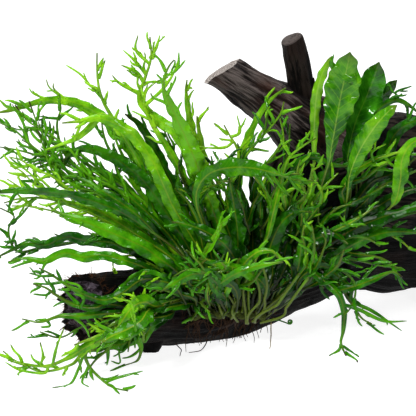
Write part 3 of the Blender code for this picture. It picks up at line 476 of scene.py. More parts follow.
# %% Stations
TRUNK = [
    (454, 206, 92, 60, 43), (438, 204, 90, 72, 50), (412, 203, 86, 77, 52), (384, 203, 80, 82, 50),
    (358, 203, 74, 84, 46), (334, 212, 64, 78, 42), (312, 232, 52, 62, 38),
]
REAR_FOOT = [(398, 235, 112, 24, 20), (406, 262, 122, 20, 18), (412, 300, 128, 19, 19)]
FRONT_FOOT = [(436, 235, 92, 26, 24), (440, 262, 78, 20, 20), (442, 322, 70, 19, 19)]
LOWER_LIMB = [
    (352, 224, 74, 48, 26), (330, 237, 62, 53, 32), (304, 252, 46, 49, 34), (276, 266, 30, 44, 33),
    (246, 280, 18, 40, 31), (214, 293, 8, 38.5, 31), (180, 299, -6, 35, 29), (148, 302, -20, 32, 29),
    (118, 303, -33, 30, 28), (92, 304, -44, 28, 27), (56, 306, -58, 27, 26),
]
NUB_FOOT = [(155, 318, -20, 15, 14), (151, 332, -21, 11, 10), (148, 341, -22, 7.5, 8), (145, 355, -23, 7, 8)]
UPPER_LIMB = [
    (352, 160, 72, 44, 34), (326, 143, 68, 39, 30), (302, 125, 64, 31, 26), (278, 107, 60, 25, 22),
    (254, 91, 57, 20.5, 19), (230, 76, 54, 17.5, 18), (196, 56, 51, 16, 17),
]
PEG = [
    (304, 100, 64, 12, 11), (300, 84, 63, 12, 10), (297, 66, 62, 11.6, 9.4), (294, 52, 61, 11.2, 9),
    (292, 40, 60, 10.2, 8.6), (291, 33, 60, 8.6, 7.4), (290, 24, 60, 7.0, 6.0),
]
BROKEN_BUMP = [(311, 98, 62, 5.5, 6), (312, 86, 61, 3.4, 4), (312, 78, 61, 2.2, 2.6)]
LOG_END = (spots([(81, 304)], -47)[0], (-0.62, -0.72, 0.32))
PEG_TOP = (spots([(289, 40.5)], 60)[0], (-0.42, -0.22, 0.88))
SAW_CUT = (spots([(225, 68)], 54)[0], (-0.49, 0.06, 0.87))
print("stations:", [len(line) for line in (TRUNK, LOWER_LIMB, UPPER_LIMB, PEG)])

# %% Limbs
TORN_BARK_RINGS = 5
TIP_SOFTNESS = 3.0 * MM
LOWER_ROWS = 300
LOWER_COLUMNS = 184


def ride_for(piece, slot, *nodes):
    """Every piece moves with the one body and stands for its CAD nodes, which are hidden. slot is not used.
    """
    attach(piece, "root")
    if nodes:
        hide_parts(*nodes)
    return piece


def torn_face(inward, columns):
    """How far a broken end stands out of its rim or lies behind it: uneven fibres, most of it inside."""
    relief = uneven(len(inward), columns, 5, 12, 71) * 4.4 + uneven(len(inward), columns, 9, 34, 72) * 2.4
    return relief * MM * np.minimum(1.0, 4 * inward)[:, None]


def torn_rim(columns):
    """How far each lengthwise fibre of the broken end sticks out or falls short, in metres."""
    return (uneven(2, columns, 1, 14, 78)[0] * 5.0 + uneven(2, columns, 1, 46, 79)[0] * 3.4) * MM


def saw_face(inward, columns):
    """A sawn end is flat but for a faint dish and saw marks a few tenths of a millimetre deep."""
    return 0.25 * MM * uneven(len(inward), columns, 7, 9, 73) * np.minimum(1.0, 6 * inward)[:, None]


def worn_round(inward, columns):
    """A stub worn round: its end rises by a quarter circle, up to 3.4 mm."""
    return 3.4 * MM * np.sqrt(1 - (1 - inward) ** 2)[:, None] * np.ones(columns)


def blunted(points, reach):
    """A worn tip: what lies beyond reach short of a limb's farthest point is drawn back softly."""
    onward = points[-1].mean(axis=0) - points[-30].mean(axis=0)
    onward /= np.linalg.norm(onward)
    far = points @ onward
    over = np.maximum(0.0, far - (far.max() - reach))
    drawn = over - TIP_SOFTNESS * (1 - np.exp(-over / TIP_SOFTNESS))
    return points - drawn[..., None] * onward


def limb(name, stations, rows, columns, seed, looks, cut=None, rough=None, end_relief=None, turn=0.0,
         lump=0.07, roughness=1.0, bulge=0.0, blunt=0.0):
    """One limb from its stations, cut by a plane and blunted if asked. The second look is its end's."""
    grids = limb_grid(stations, rows, columns, seed, turn, lump, roughness)
    if cut:
        grids = cut_rows(*grids, *cut, rough)
    if blunt:
        grids = (blunted(grids[0], blunt), *grids[1:])
    bark_rings = 0 if rough is None else TORN_BARK_RINGS
    return limb_piece(name, grids, cut is not None, looks, end_relief, bulge, bark_rings)


trunk = limb("trunk_wood", TRUNK, 150, 288, 11, [shaded_dark_wood], bulge=0.4)
rear_foot = limb("rear_foot_wood", REAR_FOOT, 80, 88, 21, [shaded_dark_wood])
front_foot = limb("front_foot_wood", FRONT_FOOT, 90, 96, 31, [shaded_dark_wood])
lower = limb("lower_limb_wood", LOWER_LIMB, LOWER_ROWS, LOWER_COLUMNS, 41, [shaded_dark_wood, broken_wood],
             LOG_END, torn_rim(LOWER_COLUMNS), torn_face, turn=1.0)
nub = limb("nub_foot_wood", NUB_FOOT, 46, 48, 51, [shaded_dark_wood], roughness=0.5)
upper = limb("upper_limb_wood", UPPER_LIMB, 240, 150, 61, [dry_wood, sawn_wood], SAW_CUT, None, saw_face,
             turn=2.0, roughness=1.3, blunt=6.0 * MM)
bump = limb("broken_bump_wood", BROKEN_BUMP, 34, 32, 66, [stub_wood], roughness=0.6)
peg = limb("peg_wood", PEG, 90, 72, 69, [stub_wood, dry_wood], PEG_TOP, None, worn_round, lump=0.05,
           roughness=0.4)
LIMBS = {
    "trunk": [trunk, rear_foot, front_foot],
    "lower_limb": [lower, nub],
    "upper_limb": [upper, bump],
    "peg": [peg],
}
for node_name, pieces in LIMBS.items():
    for piece in pieces:
        ride_for(piece, "driftwood", node_name)
print("wood points:", sum(len(piece.data.vertices) for piece in (trunk, lower, upper, peg)))

# %% [markdown]
# ## Leaves: how one is shaped
# A laced java fern leaf is a wiry stalk, a thin leathery strap with a stout midrib and wavy edges, and a
# tip that splits again and again into narrow fingers. Sheets with modifiers would do, but a leaf here is
# one closed surface: a very flat tube whose section is a lens, folded a little at the midrib. The same rule
# makes the stalk, where the lens is round, the blade and each finger. A leaf follows its picked route, and
# where it would meet the wood it is brought towards the eye, so that it stays in front of what carries it.

# %% Sight lines to the wood
STEM_WIDTH = 2.3 * MM
FINGER_WIDTH = 3.0 * MM
TIP_WIDTH = 1.15 * MM
WOOD_CLEARANCE = 3.2 * MM
BASE_CLEARANCE = 1.4 * MM
CLEARANCE_GROWTH = 0.3
EASE = 0.55
OUT_OF_SIGHT = 2.0


def points_of(thing):
    """A mesh object's points in metres, one a row."""
    place = np.empty(len(thing.data.vertices) * 3)
    thing.data.vertices.foreach_get("co", place)
    return place.reshape(-1, 3)


def search_tree(things):
    """A tree that finds where lines of sight meet any of the mesh objects."""
    points, faces, start = [], [], 0
    for thing in things:
        points.append(points_of(thing))
        faces += [[start + corner for corner in face.vertices] for face in thing.data.polygons]
        start += len(thing.data.vertices)
    return BVHTree.FromPolygons(np.concatenate(points).tolist(), faces)


SOLIDS = ["trunk", "lower_limb", "upper_limb", "rhizome_main", "rhizome_left", "rhizome_right"]
WOOD_TREE = search_tree([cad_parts[name] for name in SOLIDS])


def sight_hits(points, tree=WOOD_TREE):
    """How far from the eye each line of sight meets the wood, or two metres where it misses."""
    found = [tree.ray_cast(Vector(EYE), Vector(point - EYE))[3] for point in points]
    return np.array([OUT_OF_SIGHT if distance is None else distance for distance in found])


def blade_frames(path, roll):
    """Across the blade: square to its length and to the sight, turned by roll. Out: square to both."""
    along = tangents(path)
    sight = path - EYE
    across = np.cross(along, sight / np.linalg.norm(sight, axis=1)[:, None])
    across /= np.maximum(np.linalg.norm(across, axis=1), 1e-6)[:, None]
    out = np.cross(across, along)
    turn = np.radians(roll) * np.ones(len(path))
    cosine, sine = np.cos(turn)[:, None], np.sin(turn)[:, None]
    return across * cosine + out * sine, out * cosine - across * sine


def in_front(path, across, halves, ahead=0.0):
    """Moves a path along its lines of sight by the most that any place near it needs to clear the wood."""
    distance = np.linalg.norm(path - EYE, axis=1)
    sight = (path - EYE) / distance[:, None]
    along = lengths(path)
    clearance = np.minimum(BASE_CLEARANCE + CLEARANCE_GROWTH * along, WOOD_CLEARANCE + ahead * MM)
    need = np.zeros(len(path))
    for side in (-1.0, 0.0, 1.0):
        edge = path + across * (side * halves)[:, None]
        need = np.maximum(need, np.linalg.norm(edge - EYE, axis=1) - sight_hits(edge) + clearance)
    pull = np.max(need[None, :] - EASE * np.abs(along[:, None] - along[None, :]), axis=1)
    return path - sight * pull[:, None]


print("from the eye to the log:", sight_hits(spots([(208, 300)], 0)).round(3)[0], "m")

# %% A flat tube
LEAF_FOLD = 0.16
LENS = 0.20 * MM
STALK_LENS = 0.50 * MM
RIB_HEIGHT = 0.55 * MM
RIB_WIDTH = 0.6 * MM
QUILT_SPACING = 7.0 * MM
RIBLESS = 1.0


def section_of(count):
    """The section's points: shares across the blade from -1 to 1 in front, then back again behind."""
    front = np.sin(np.linspace(-0.5, 0.5, count) * math.pi)
    front = np.sign(front) * np.abs(front) ** 1.15
    return np.concatenate([front, front[-2:0:-1]]), np.concatenate([np.ones(count), -np.ones(count - 2)])


def flat_tube(path, across, out, halves, count, ruffle=0.0, phase=0.0, wave_mm=21.0, burn=None, tone=0.0,
              start=0.0, stemness=None, quilt=0.0):
    """One closed ribbon. Each section: path + across times u times half width, lifted by the fold and by
    edge waves, u squared times a sine along the leaf, and thickened by a lens plus the midrib, a bell curve
    0.6 mm wide. Its length is counted from start, where RIBLESS tells the finish to leave out the midrib."""
    u, side = section_of(count)
    far = lengths(path)[:, None]
    half = halves[:, None]
    share = np.linspace(0, 1, len(path))[:, None]
    stem = np.clip(1.6 - half / (1.4 * MM), 0, 1) if stemness is None else stemness[:, None]
    turn = 2 * math.pi * far / (wave_mm * MM)
    edge_wave = np.sin(turn + phase + 1.9 * np.sign(u)) + 0.4 * np.sin(2.3 * turn - phase * u)
    room = np.clip(half / (4 * MM), 0, 1)
    wave = ruffle * half * room * u ** 2 * edge_wave
    width = half * (1 + 0.07 * room * np.sin(1.37 * turn + 2 * phase + 2.4 * np.sign(u)) * np.abs(u))
    fold = LEAF_FOLD * half * np.abs(u) ** 1.3
    from_rib = np.abs(u) * half
    vein = np.cos(2 * math.pi * (far - from_rib) / QUILT_SPACING)
    lens = np.sqrt(np.clip(1 - u ** 2, 0, 1))
    thick = (LENS + STALK_LENS * stem) * lens
    rib = (RIB_HEIGHT * (1 - 0.75 * share)) * np.exp(-(from_rib / RIB_WIDTH) ** 2) * (1 - stem)
    quilted = quilt * MM * vein * room * lens * (1 - stem)
    lift = np.where(side > 0, thick - 0.35 * rib, -thick - rib) + quilted
    points = (path[:, None, :] + (width * u)[..., None] * across[:, None, :]
              + (fold + wave + lift)[..., None] * out[:, None, :])
    points[..., 2] = np.maximum(points[..., 2], 0.25 * MM + 0.25 * MM * (side > 0))
    blade = np.stack([u + 0 * far, far + start + 0 * u, from_rib], axis=-1)
    scorched = np.zeros(len(path)) if burn is None else burn
    toned = tone * np.ones((len(path), 1)) + 0 * u
    growth = np.stack([toned, stem + 0 * u, scorched[:, None] + 0 * u], axis=-1)
    return points, blade, growth


def join_tubes(name, tubes, look, fields=("blade", "growth"), turned=False):
    """All tubes of one piece as one mesh: quads around each, and a fan of triangles at each of its ends.
    fields names what a tube carries beside its points. Faces are wound the other way for tubes counted the
    other way round."""
    stores = [[] for _ in range(1 + len(fields))]
    quads, triangles = [], []
    start = 0
    for tube in tubes:
        rows, columns = tube[0].shape[:2]
        ring = np.arange(columns)
        last = start + rows * columns
        quads.append(quads_of(rows, columns, start)[:, ::-1 if turned else 1])
        triangles.append(fan(start + ring, last, flip=not turned))
        triangles.append(fan(start + (rows - 1) * columns + ring, last + 1, flip=turned))
        for store, grid in zip(stores, tube):
            ends = [grid[0].mean(axis=0), grid[-1].mean(axis=0)]
            store.append(np.concatenate([grid.reshape(-1, 3), ends]))
        start = last + 2
    points, *values = (np.concatenate(store) for store in stores)
    faces = np.concatenate(quads), np.concatenate(triangles)
    return make_mesh(name, points, *faces, [look], **dict(zip(fields, values)))


print("points round a section of 9:", len(section_of(9)[0]))

# %% [markdown]
# ## Leaves: fingers
# Each finger of a laced tip is a narrow ribbon that forks unevenly: a side finger leaves at 16 to 46
# degrees, swings on or back, and is up to about half as long. Two rounds of this give the antlers. Places
# for every finger could be picked, and the big ones are; the hundreds of small ones follow the rule, from
# each leaf's own seed.

# %% Fingers that fork
FINGER_STEP = 1.3 * MM
FORK_PLACES = np.array([0.30, 0.52, 0.74])
SCORCH_START = 0.76
SCORCH_LENGTH = 0.16


def fork(tubes, line, base_half, rng, rounds, tone, burnt, size=1.0):
    """Adds a finger along line and, for each round, side fingers that leave it in the blade's plane."""
    count = max(7, int(lengths(line)[-1] / FINGER_STEP))
    path = path_through(line, count)
    across, out = blade_frames(path, 0.0)
    share = np.linspace(0, 1, count)
    tip_half = 0.5 * TIP_WIDTH
    halves = tip_half + (base_half - tip_half) * (1 - share ** 1.5)
    halves *= 1 + 0.12 * np.sin(rng.uniform(5, 11) * share + rng.uniform(0, 6.28))
    halves *= np.where(share > 0.93, np.sqrt(np.clip((1.02 - share) / 0.09, 0, 1)), 1.0)
    burn = np.clip((share - SCORCH_START) / SCORCH_LENGTH, 0, 1) * burnt * rng.choice([0.0, 0.4, 1.0])
    tubes.append(flat_tube(path, across, out, halves, 5, burn=burn, tone=tone + 0.06 + 0.15 * share[:, None],
                           start=RIBLESS, stemness=0.12 * np.ones(count)))
    if rounds <= 0:
        return
    side = rng.choice([-1.0, 1.0])
    total = lengths(path)[-1]
    for place in np.sort(rng.permuted(FORK_PLACES)[:1 + (rounds > 1)]):
        number = int(place * (count - 1))
        reach = (size * MM * rng.uniform(7, 14) * (0.66 ** (2 - rounds)) * (1.15 - 0.5 * place)
                 * min(1, 40 * total))
        child = finger_line(path[number], tangents(path)[number], across[number], out[number], side,
                            reach, rng)
        fork(tubes, child, max(0.8 * halves[number], tip_half), rng, rounds - 1, tone, burnt, size)
        side = -side


def finger_line(start, forward, across, out, side, reach, rng):
    """A side finger: it leaves at an angle on one side, swings on or back up to 45 degrees, and wavers."""
    angle = math.radians(rng.uniform(16, 46)) * side
    swung = angle + math.radians(rng.uniform(-45, 38)) * side
    lean = 0.5 * rng.uniform(-1, 1)
    steps = np.linspace(0, 1, 7)[:, None]
    first = forward * math.cos(angle) + across * math.sin(angle) + out * lean
    last = forward * math.cos(swung) + across * math.sin(swung) - out * lean
    line = start + reach * steps * (first * (1 - 0.5 * steps) + last * 0.5 * steps)
    line = line + 0.07 * reach * rng.uniform(-1, 1) * np.sin(2 * math.pi * steps) * across
    line[:, 2] = np.maximum(line[:, 2], FLOOR_CLEARANCE)
    return line


print("side fingers leave at shares", FORK_PLACES)

# %% What a leaf is
def prongs_of(text):
    """A leaf's large prongs: share of its length, side, width in mm and pixels, parted by semicolons."""
    prongs = []
    for prong in text.split(";") if text else []:
        place, side, width, pixels = prong.split(None, 3)
        prongs.append((float(place), int(side), float(width), pixels_of(pixels)))
    return prongs


def leaf(name, width, depth, colour, route, prongs="", roll=0.0, stem=0.22, tip=0.86, lean=0.0, ahead=0.0,
         rear=False, ruffle=0.32, lace=None, burnt=0.6, rounds=2, grow=1.0, quilt=0.0, tone=None, skew=0.85,
         shade=0.75):
    """What a leaf is: blade width and depths in mm, its route in pixels from the rhizome to the tip, its
    prongs, roll in degrees, and the shares where the blade starts and its finger begins. A skew over 1 puts
    the widest place nearer the tip, and shade darkens the foot of a leaf inside the clump."""
    return dict(name=name, width=width, depth=depth, colour=colour, route=pixels_of(route),
                prongs=prongs_of(prongs), roll=roll, stem=stem, tip=tip, lean=lean, ahead=ahead, rear=rear,
                ruffle=ruffle, lace=lace, burnt=burnt, rounds=rounds, grow=grow, quilt=quilt, tone=tone,
                skew=skew, shade=shade)


# %% One leaf
LINE_STEPS = 50
ROW_STEP = 1.5 * MM
SWAY = 7 * MM
SWAY_END = 0.45
DRIFT = 15
DRIFT_LENGTH = 80 * MM
LOBE_WIDTH = 8
PRONG_STEPS = 16
LACE_SPACING = 9.5 * MM


def half_widths(spec, shares):
    """Half the width: a stalk, a blade that swells as the 3/4 power of a sine, and a tapering finger."""
    inner = np.clip((shares - spec["stem"]) / (spec["tip"] - spec["stem"]), 0.0, 1.0)
    swell = np.sin(math.pi * inner ** spec["skew"]) ** 0.75
    finger = np.clip((shares - spec["tip"]) / (1.001 - spec["tip"]), 0.0, 1.0)
    thin = STEM_WIDTH + (FINGER_WIDTH - STEM_WIDTH) * inner + (TIP_WIDTH - FINGER_WIDTH) * finger
    return 0.5 * (thin + np.maximum(spec["width"] * MM - thin, 0.0) * swell)


def free_line(spec):
    """A leaf's middle line: its spots at evenly spread depths, smoothed, the stalk bowed sideways by up to
    7 mm, then brought in front of the wood."""
    share = np.linspace(0, 1, len(spec["route"]))
    depths = np.interp(share, np.linspace(0, 1, len(spec["depth"])), spec["depth"])
    depths = depths + spec["lean"] * np.clip(share * 3.0, 0.0, 1.0)
    line = path_through(spots(spec["route"], depths), LINE_STEPS)
    if spec["rear"]:
        return line
    along = np.linspace(0, 1, LINE_STEPS)
    sway = SWAY * math.sin(2.3 * sum(map(ord, spec["name"])))
    line[:, 0] += sway * np.sin(math.pi * np.clip(along / SWAY_END, 0, 1))
    across, _ = blade_frames(line, spec["roll"])
    return in_front(line, across, half_widths(spec, along), spec["ahead"])


def leaf_tubes(spec):
    """The leaf's blade and all its fingers as flat tubes."""
    seed = sum(ord(letter) * (number + 3) for number, letter in enumerate(spec["name"]))
    rng = np.random.default_rng(seed)
    line = free_line(spec)
    rows = int(min(max(lengths(line)[-1] / ROW_STEP, 20), 150))
    path = path_through(line, rows)
    share = np.linspace(0, 1, rows)
    phase = rng.uniform(0, 6.28)
    drift = DRIFT * np.sin(2 * math.pi * lengths(path) / DRIFT_LENGTH + phase) * np.clip(4 * share, 0, 1)
    across, out = blade_frames(path, spec["roll"] + drift)
    halves = half_widths(spec, share)
    laced = spec["tip"] < 0.999
    if not laced:
        halves *= np.where(share > 0.965, np.sqrt(np.clip((1.003 - share) / 0.038, 0, 1)), 1.0)
    tone = rng.uniform(-0.10, 0.10) if spec["tone"] is None else spec["tone"]
    # Tone rises towards the tip and is taken down at the foot by shade: painted shade inside the clump.
    age_and_shade = tone + 0.30 * (share[:, None] - 0.62) - spec["shade"] * np.clip(1 - share[:, None] / 0.42, 0, 1)
    burn = np.clip((share - 0.93) / 0.06, 0, 1) * spec["burnt"]
    count = 9 if spec["width"] < 18 else 13
    tubes = [flat_tube(path, across, out, halves, count, spec["ruffle"], phase, rng.uniform(17, 26), burn,
                       age_and_shade, quilt=spec["quilt"])]
    for place, side, width, pixels in spec["prongs"]:
        number = int(place * (rows - 1))
        root = path[number] + 0.35 * side * halves[number] * across[number]
        door = path[number] + 0.9 * side * halves[number] * across[number]
        finger = path_through(np.vstack([door, spots(pixels, door[1] / MM)]), PRONG_STEPS)
        frames, _ = blade_frames(finger, 0.0)
        finger = in_front(finger, frames, np.full(PRONG_STEPS, 0.3 * width * MM))
        finger = np.vstack([root, finger[1:]])
        if width > LOBE_WIDTH:
            frames, out_of = blade_frames(finger, spec["roll"])
            swell = np.sin(math.pi * (0.35 + 0.65 * np.linspace(0, 0.98, PRONG_STEPS)))
            rounded = 0.4 * width * MM * swell
            tubes.append(flat_tube(finger, frames, out_of, rounded, 9, tone=tone, start=RIBLESS,
                                   stemness=np.zeros(PRONG_STEPS)))
        else:
            half = 0.5 * max(0.82 * width, 2.6) * MM
            fork(tubes, finger, half, rng, spec["rounds"], tone, spec["burnt"], spec["grow"])
    if laced and spec["rounds"] > 0:
        lace_tip(tubes, path, across, out, halves, spec, rng, tone)
    return tubes


def lace_tip(tubes, path, across, out, halves, spec, rng, tone):
    """Small forked fingers along the last stretch of a leaf, mostly left and right in turn."""
    rows = len(path)
    first = max(spec["tip"] - 0.10, 0.4) if spec["lace"] is None else spec["lace"]
    count = max(2, int((1 - first) * lengths(path)[-1] / LACE_SPACING))
    side = rng.choice([-1.0, 1.0])
    for place in np.linspace(first, 0.96, count) + rng.uniform(-0.015, 0.015, count):
        number = int(place * (rows - 1))
        reach = spec["grow"] * MM * rng.uniform(9, 19) + 0.5 * halves[number]
        start = path[number] + 0.5 * side * halves[number] * across[number]
        child = finger_line(start, tangents(path)[number], across[number], out[number], side, reach, rng)
        half = 0.5 * rng.uniform(2.3, 3.6) * MM
        fork(tubes, child, half, rng, spec["rounds"] - 1, tone, spec["burnt"], 0.8 * spec["grow"])
        side = -side if rng.uniform() < 0.8 else side


# %% [markdown]
# ## Leaves: the finish
# A submerged fern leaf out of the water is wet and leathery: two or more greens in soft patches, a brown or
# yellow midrib, faint side veins that slant forward, small scorched tips, and sharp wet highlights. It
# could be one green with a gloss. Each tone here is a finish of its own, with mottling about 16 mm across,
# veins 3.6 mm apart, or 7 mm on the broad leaves, and a fine pebbled bump of about 2.4 mm that breaks the
# highlights up. The stalk and the scorched tips are coloured by attributes that each leaf carries.

# %% Leaf materials
STALK_GREEN = "#66742a"
SPOT_BROWN = "#4a3410"
# Near-black green of the painted shade at the foot of leaves inside the clump.
FOOT_SHADE_GREEN = "#050802"
SCORCH_BROWN = "#2e1b0c"
LIGHT_THROUGH = "#d8e048"
THROUGH_SHARE = 0.28
MOTTLE_SCALE = 62.0
PEBBLE_SCALE = 420.0
SPOT_SCALE = 95.0


def leaf_finish(name, light, middle, dark, rib, roughness, vein_mm=3.6, vein_strength=0.12, pebble=0.45,
                coat=0.32):
    """Wet leathery leaf: greens mixed by noise, midrib and veins from the blade attribute, then stalk,
    spots, shade and scorch by what the leaf carries, and a share of light that comes through it."""
    material, tree, shader = material_of(name, roughness, Coat_Weight=coat, Coat_Roughness=0.07,
                                         Specular_IOR_Level=0.08)
    blade = node(tree, "Attribute", output="Vector", attribute_name="blade")
    growth = node(tree, "Attribute", output="Vector", attribute_name="growth")
    _, along, from_rib = node(tree, "SeparateXYZ", {0: blade}).node.outputs
    tone, stem, scorch = node(tree, "SeparateXYZ", {0: growth}).node.outputs
    place = node(tree, "TexCoord", output="Object")
    mottle = node(tree, "TexNoise", {"Vector": place, "Scale": MOTTLE_SCALE, "Detail": 4.0, "Roughness": 0.6})
    speckle = node(tree, "TexNoise", {"Vector": place, "Scale": PEBBLE_SCALE, "Detail": 3.0})
    toned = node(tree, "Math", {0: mottle, 1: tone}, operation="ADD")
    greens = node(tree, "ValToRGB", {"Fac": toned}, stops=((0.30, dark), (0.72, light), (0.50, middle)))

    slant = node(tree, "Math", {0: along, 1: from_rib}, operation="SUBTRACT")
    wobble = node(tree, "Math", {0: mottle, 1: 0.004, 2: slant}, operation="MULTIPLY_ADD")
    count = node(tree, "Math", {0: wobble, 1: 1 / (vein_mm * MM)}, operation="MULTIPLY")
    saw = node(tree, "Math", {0: count, 1: 0.5}, operation="PINGPONG")
    vein = node(tree, "MapRange", {"Value": saw, "From Min": 0.0, "From Max": 0.11, "To Min": 1.0,
                                   "To Max": 0.0})
    faint = node(tree, "Math", {0: vein, 1: vein_strength}, operation="MULTIPLY")
    veined = node(tree, "Mix", {0: faint, 6: greens, 7: linear(light)}, output=2, data_type="RGBA")

    near_rib = node(tree, "MapRange", {"Value": from_rib, "From Min": 0.35 * MM, "From Max": 0.75 * MM,
                                       "To Min": 0.55, "To Max": 0.0})
    fade = node(tree, "MapRange", {"Value": along, "From Min": 0.02, "From Max": 0.20, "To Min": 0.8,
                                   "To Max": 0.3})
    with_midrib = node(tree, "Math", {0: along, 1: 0.9 * RIBLESS}, operation="LESS_THAN")
    rib_fade = node(tree, "Math", {0: near_rib, 1: fade}, operation="MULTIPLY")
    rib_amount = node(tree, "Math", {0: rib_fade, 1: with_midrib}, operation="MULTIPLY")
    ribbed = node(tree, "Mix", {0: rib_amount, 6: veined, 7: linear(rib)}, output=2, data_type="RGBA")

    lit = node(tree, "MapRange", {"Value": tone, "From Min": -0.7, "From Max": -0.25})
    lit_stem = node(tree, "Math", {0: stem, 1: lit}, operation="MULTIPLY")
    stalk_near = node(tree, "MapRange", {"Value": along, "From Min": 0.03, "From Max": 0.12, "To Min": 0.75,
                                         "To Max": 0.1})
    stalk = node(tree, "Math", {0: lit_stem, 1: stalk_near}, operation="MULTIPLY")
    stalked = node(tree, "Mix", {0: stalk, 6: ribbed, 7: linear(STALK_GREEN)}, output=2, data_type="RGBA")

    cells = node(tree, "TexVoronoi", {"Vector": place, "Scale": SPOT_SCALE}, output="Distance")
    spot = node(tree, "MapRange", {"Value": cells, "From Min": 0.10, "From Max": 0.16, "To Min": 0.55,
                                   "To Max": 0.0})
    few = node(tree, "MapRange", {"Value": mottle, "From Min": 0.54, "From Max": 0.60})
    some = node(tree, "Math", {0: spot, 1: few}, operation="MULTIPLY")
    spotted = node(tree, "Mix", {0: some, 6: stalked, 7: linear(SPOT_BROWN)}, output=2, data_type="RGBA")

    # Painted shade: where the tone was taken down at a leaf's foot, the colour goes to near-black green.
    foot_shade = node(tree, "MapRange", {"Value": tone, "From Min": -1.0, "From Max": -0.35, "To Min": 0.85,
                                     "To Max": 0.0})
    shaded = node(tree, "Mix", {0: foot_shade, 6: spotted, 7: linear(FOOT_SHADE_GREEN)}, output=2, data_type="RGBA")
    burnt = node(tree, "Mix", {0: scorch, 6: shaded, 7: linear(SCORCH_BROWN)}, output=2, data_type="RGBA")
    grooves = node(tree, "Math", {0: vein, 1: -1.2 * vein_strength, 2: speckle}, operation="MULTIPLY_ADD")
    bump = node(tree, "Bump", {"Strength": pebble, "Distance": 0.7 * MM, "Height": grooves})
    tree.links.new(burnt, shader.inputs["Base Color"])
    tree.links.new(bump, shader.inputs["Normal"])

    glow = node(tree, "Mix", {0: 1.0, 6: burnt, 7: linear(LIGHT_THROUGH)}, output=2, data_type="RGBA",
                blend_type="MULTIPLY")
    through = node(tree, "BsdfTranslucent", {"Color": glow})
    both = node(tree, "MixShader", {0: THROUGH_SHARE, 1: shader.outputs[0], 2: through})
    tree.links.new(both, tree.nodes["Material Output"].inputs["Surface"])
    return material


LEAF_LOOKS = {
    "bright": leaf_finish("young laced fern leaf", "#93d41e", "#5ca80a", "#2f7602", "#a8b02c", 0.32),
    "mid": leaf_finish("grown laced fern leaf", "#56a50a", "#2c7602", "#104402", "#747c18", 0.28),
    "deep": leaf_finish("old laced fern leaf", "#3a860a", "#185602", "#072c02", "#585a12", 0.24),
    "plain": leaf_finish("plain broad fern leaf", "#3c8c12", "#1c6004", "#083402", "#6c9a2a", 0.20,
                         7.0, 0.4, 0.4, 0.6),
    "young_plain": leaf_finish("young broad fern leaf", "#78b81c", "#45900c", "#1f6204", "#b0cc50", 0.24,
                               7.0, 0.4, 0.4, 0.5),
    "red_rib": leaf_finish("laced fern leaf with a brown rib", "#64b012", "#348406", "#185603", "#80481a",
                           0.28),
}
SLOT_OF = {"bright": "leaf_bright", "mid": "leaf_mid", "deep": "leaf_deep"}
LOOK_OF = {
    "dark_arching_leaf": "bright", "lace_crown_leaf": "bright", "crown_side_leaf": "bright",
    "broad_leaf_front": "young_plain", "broad_leaf_light": "young_plain", "broad_leaf_yellow": "young_plain",
    "broad_leaf_middle": "plain", "broad_leaf_rear": "plain", "red_rib_leaf": "red_rib",
}
print("leaf finishes:", [look.name for look in LEAF_LOOKS.values()])

# %% [markdown]
# ## Leaves: where they are
# Every leaf is picked off the photograph: its route in pixels from the rhizome to the tip, its depths in
# mm, and its large prongs. The tall fan is at the upper left, the lacy mass under it, then the long wavy
# pair, the trailing ones, the middle, the broad plain ones at the upper right, and the ones that reach
# right or hang.

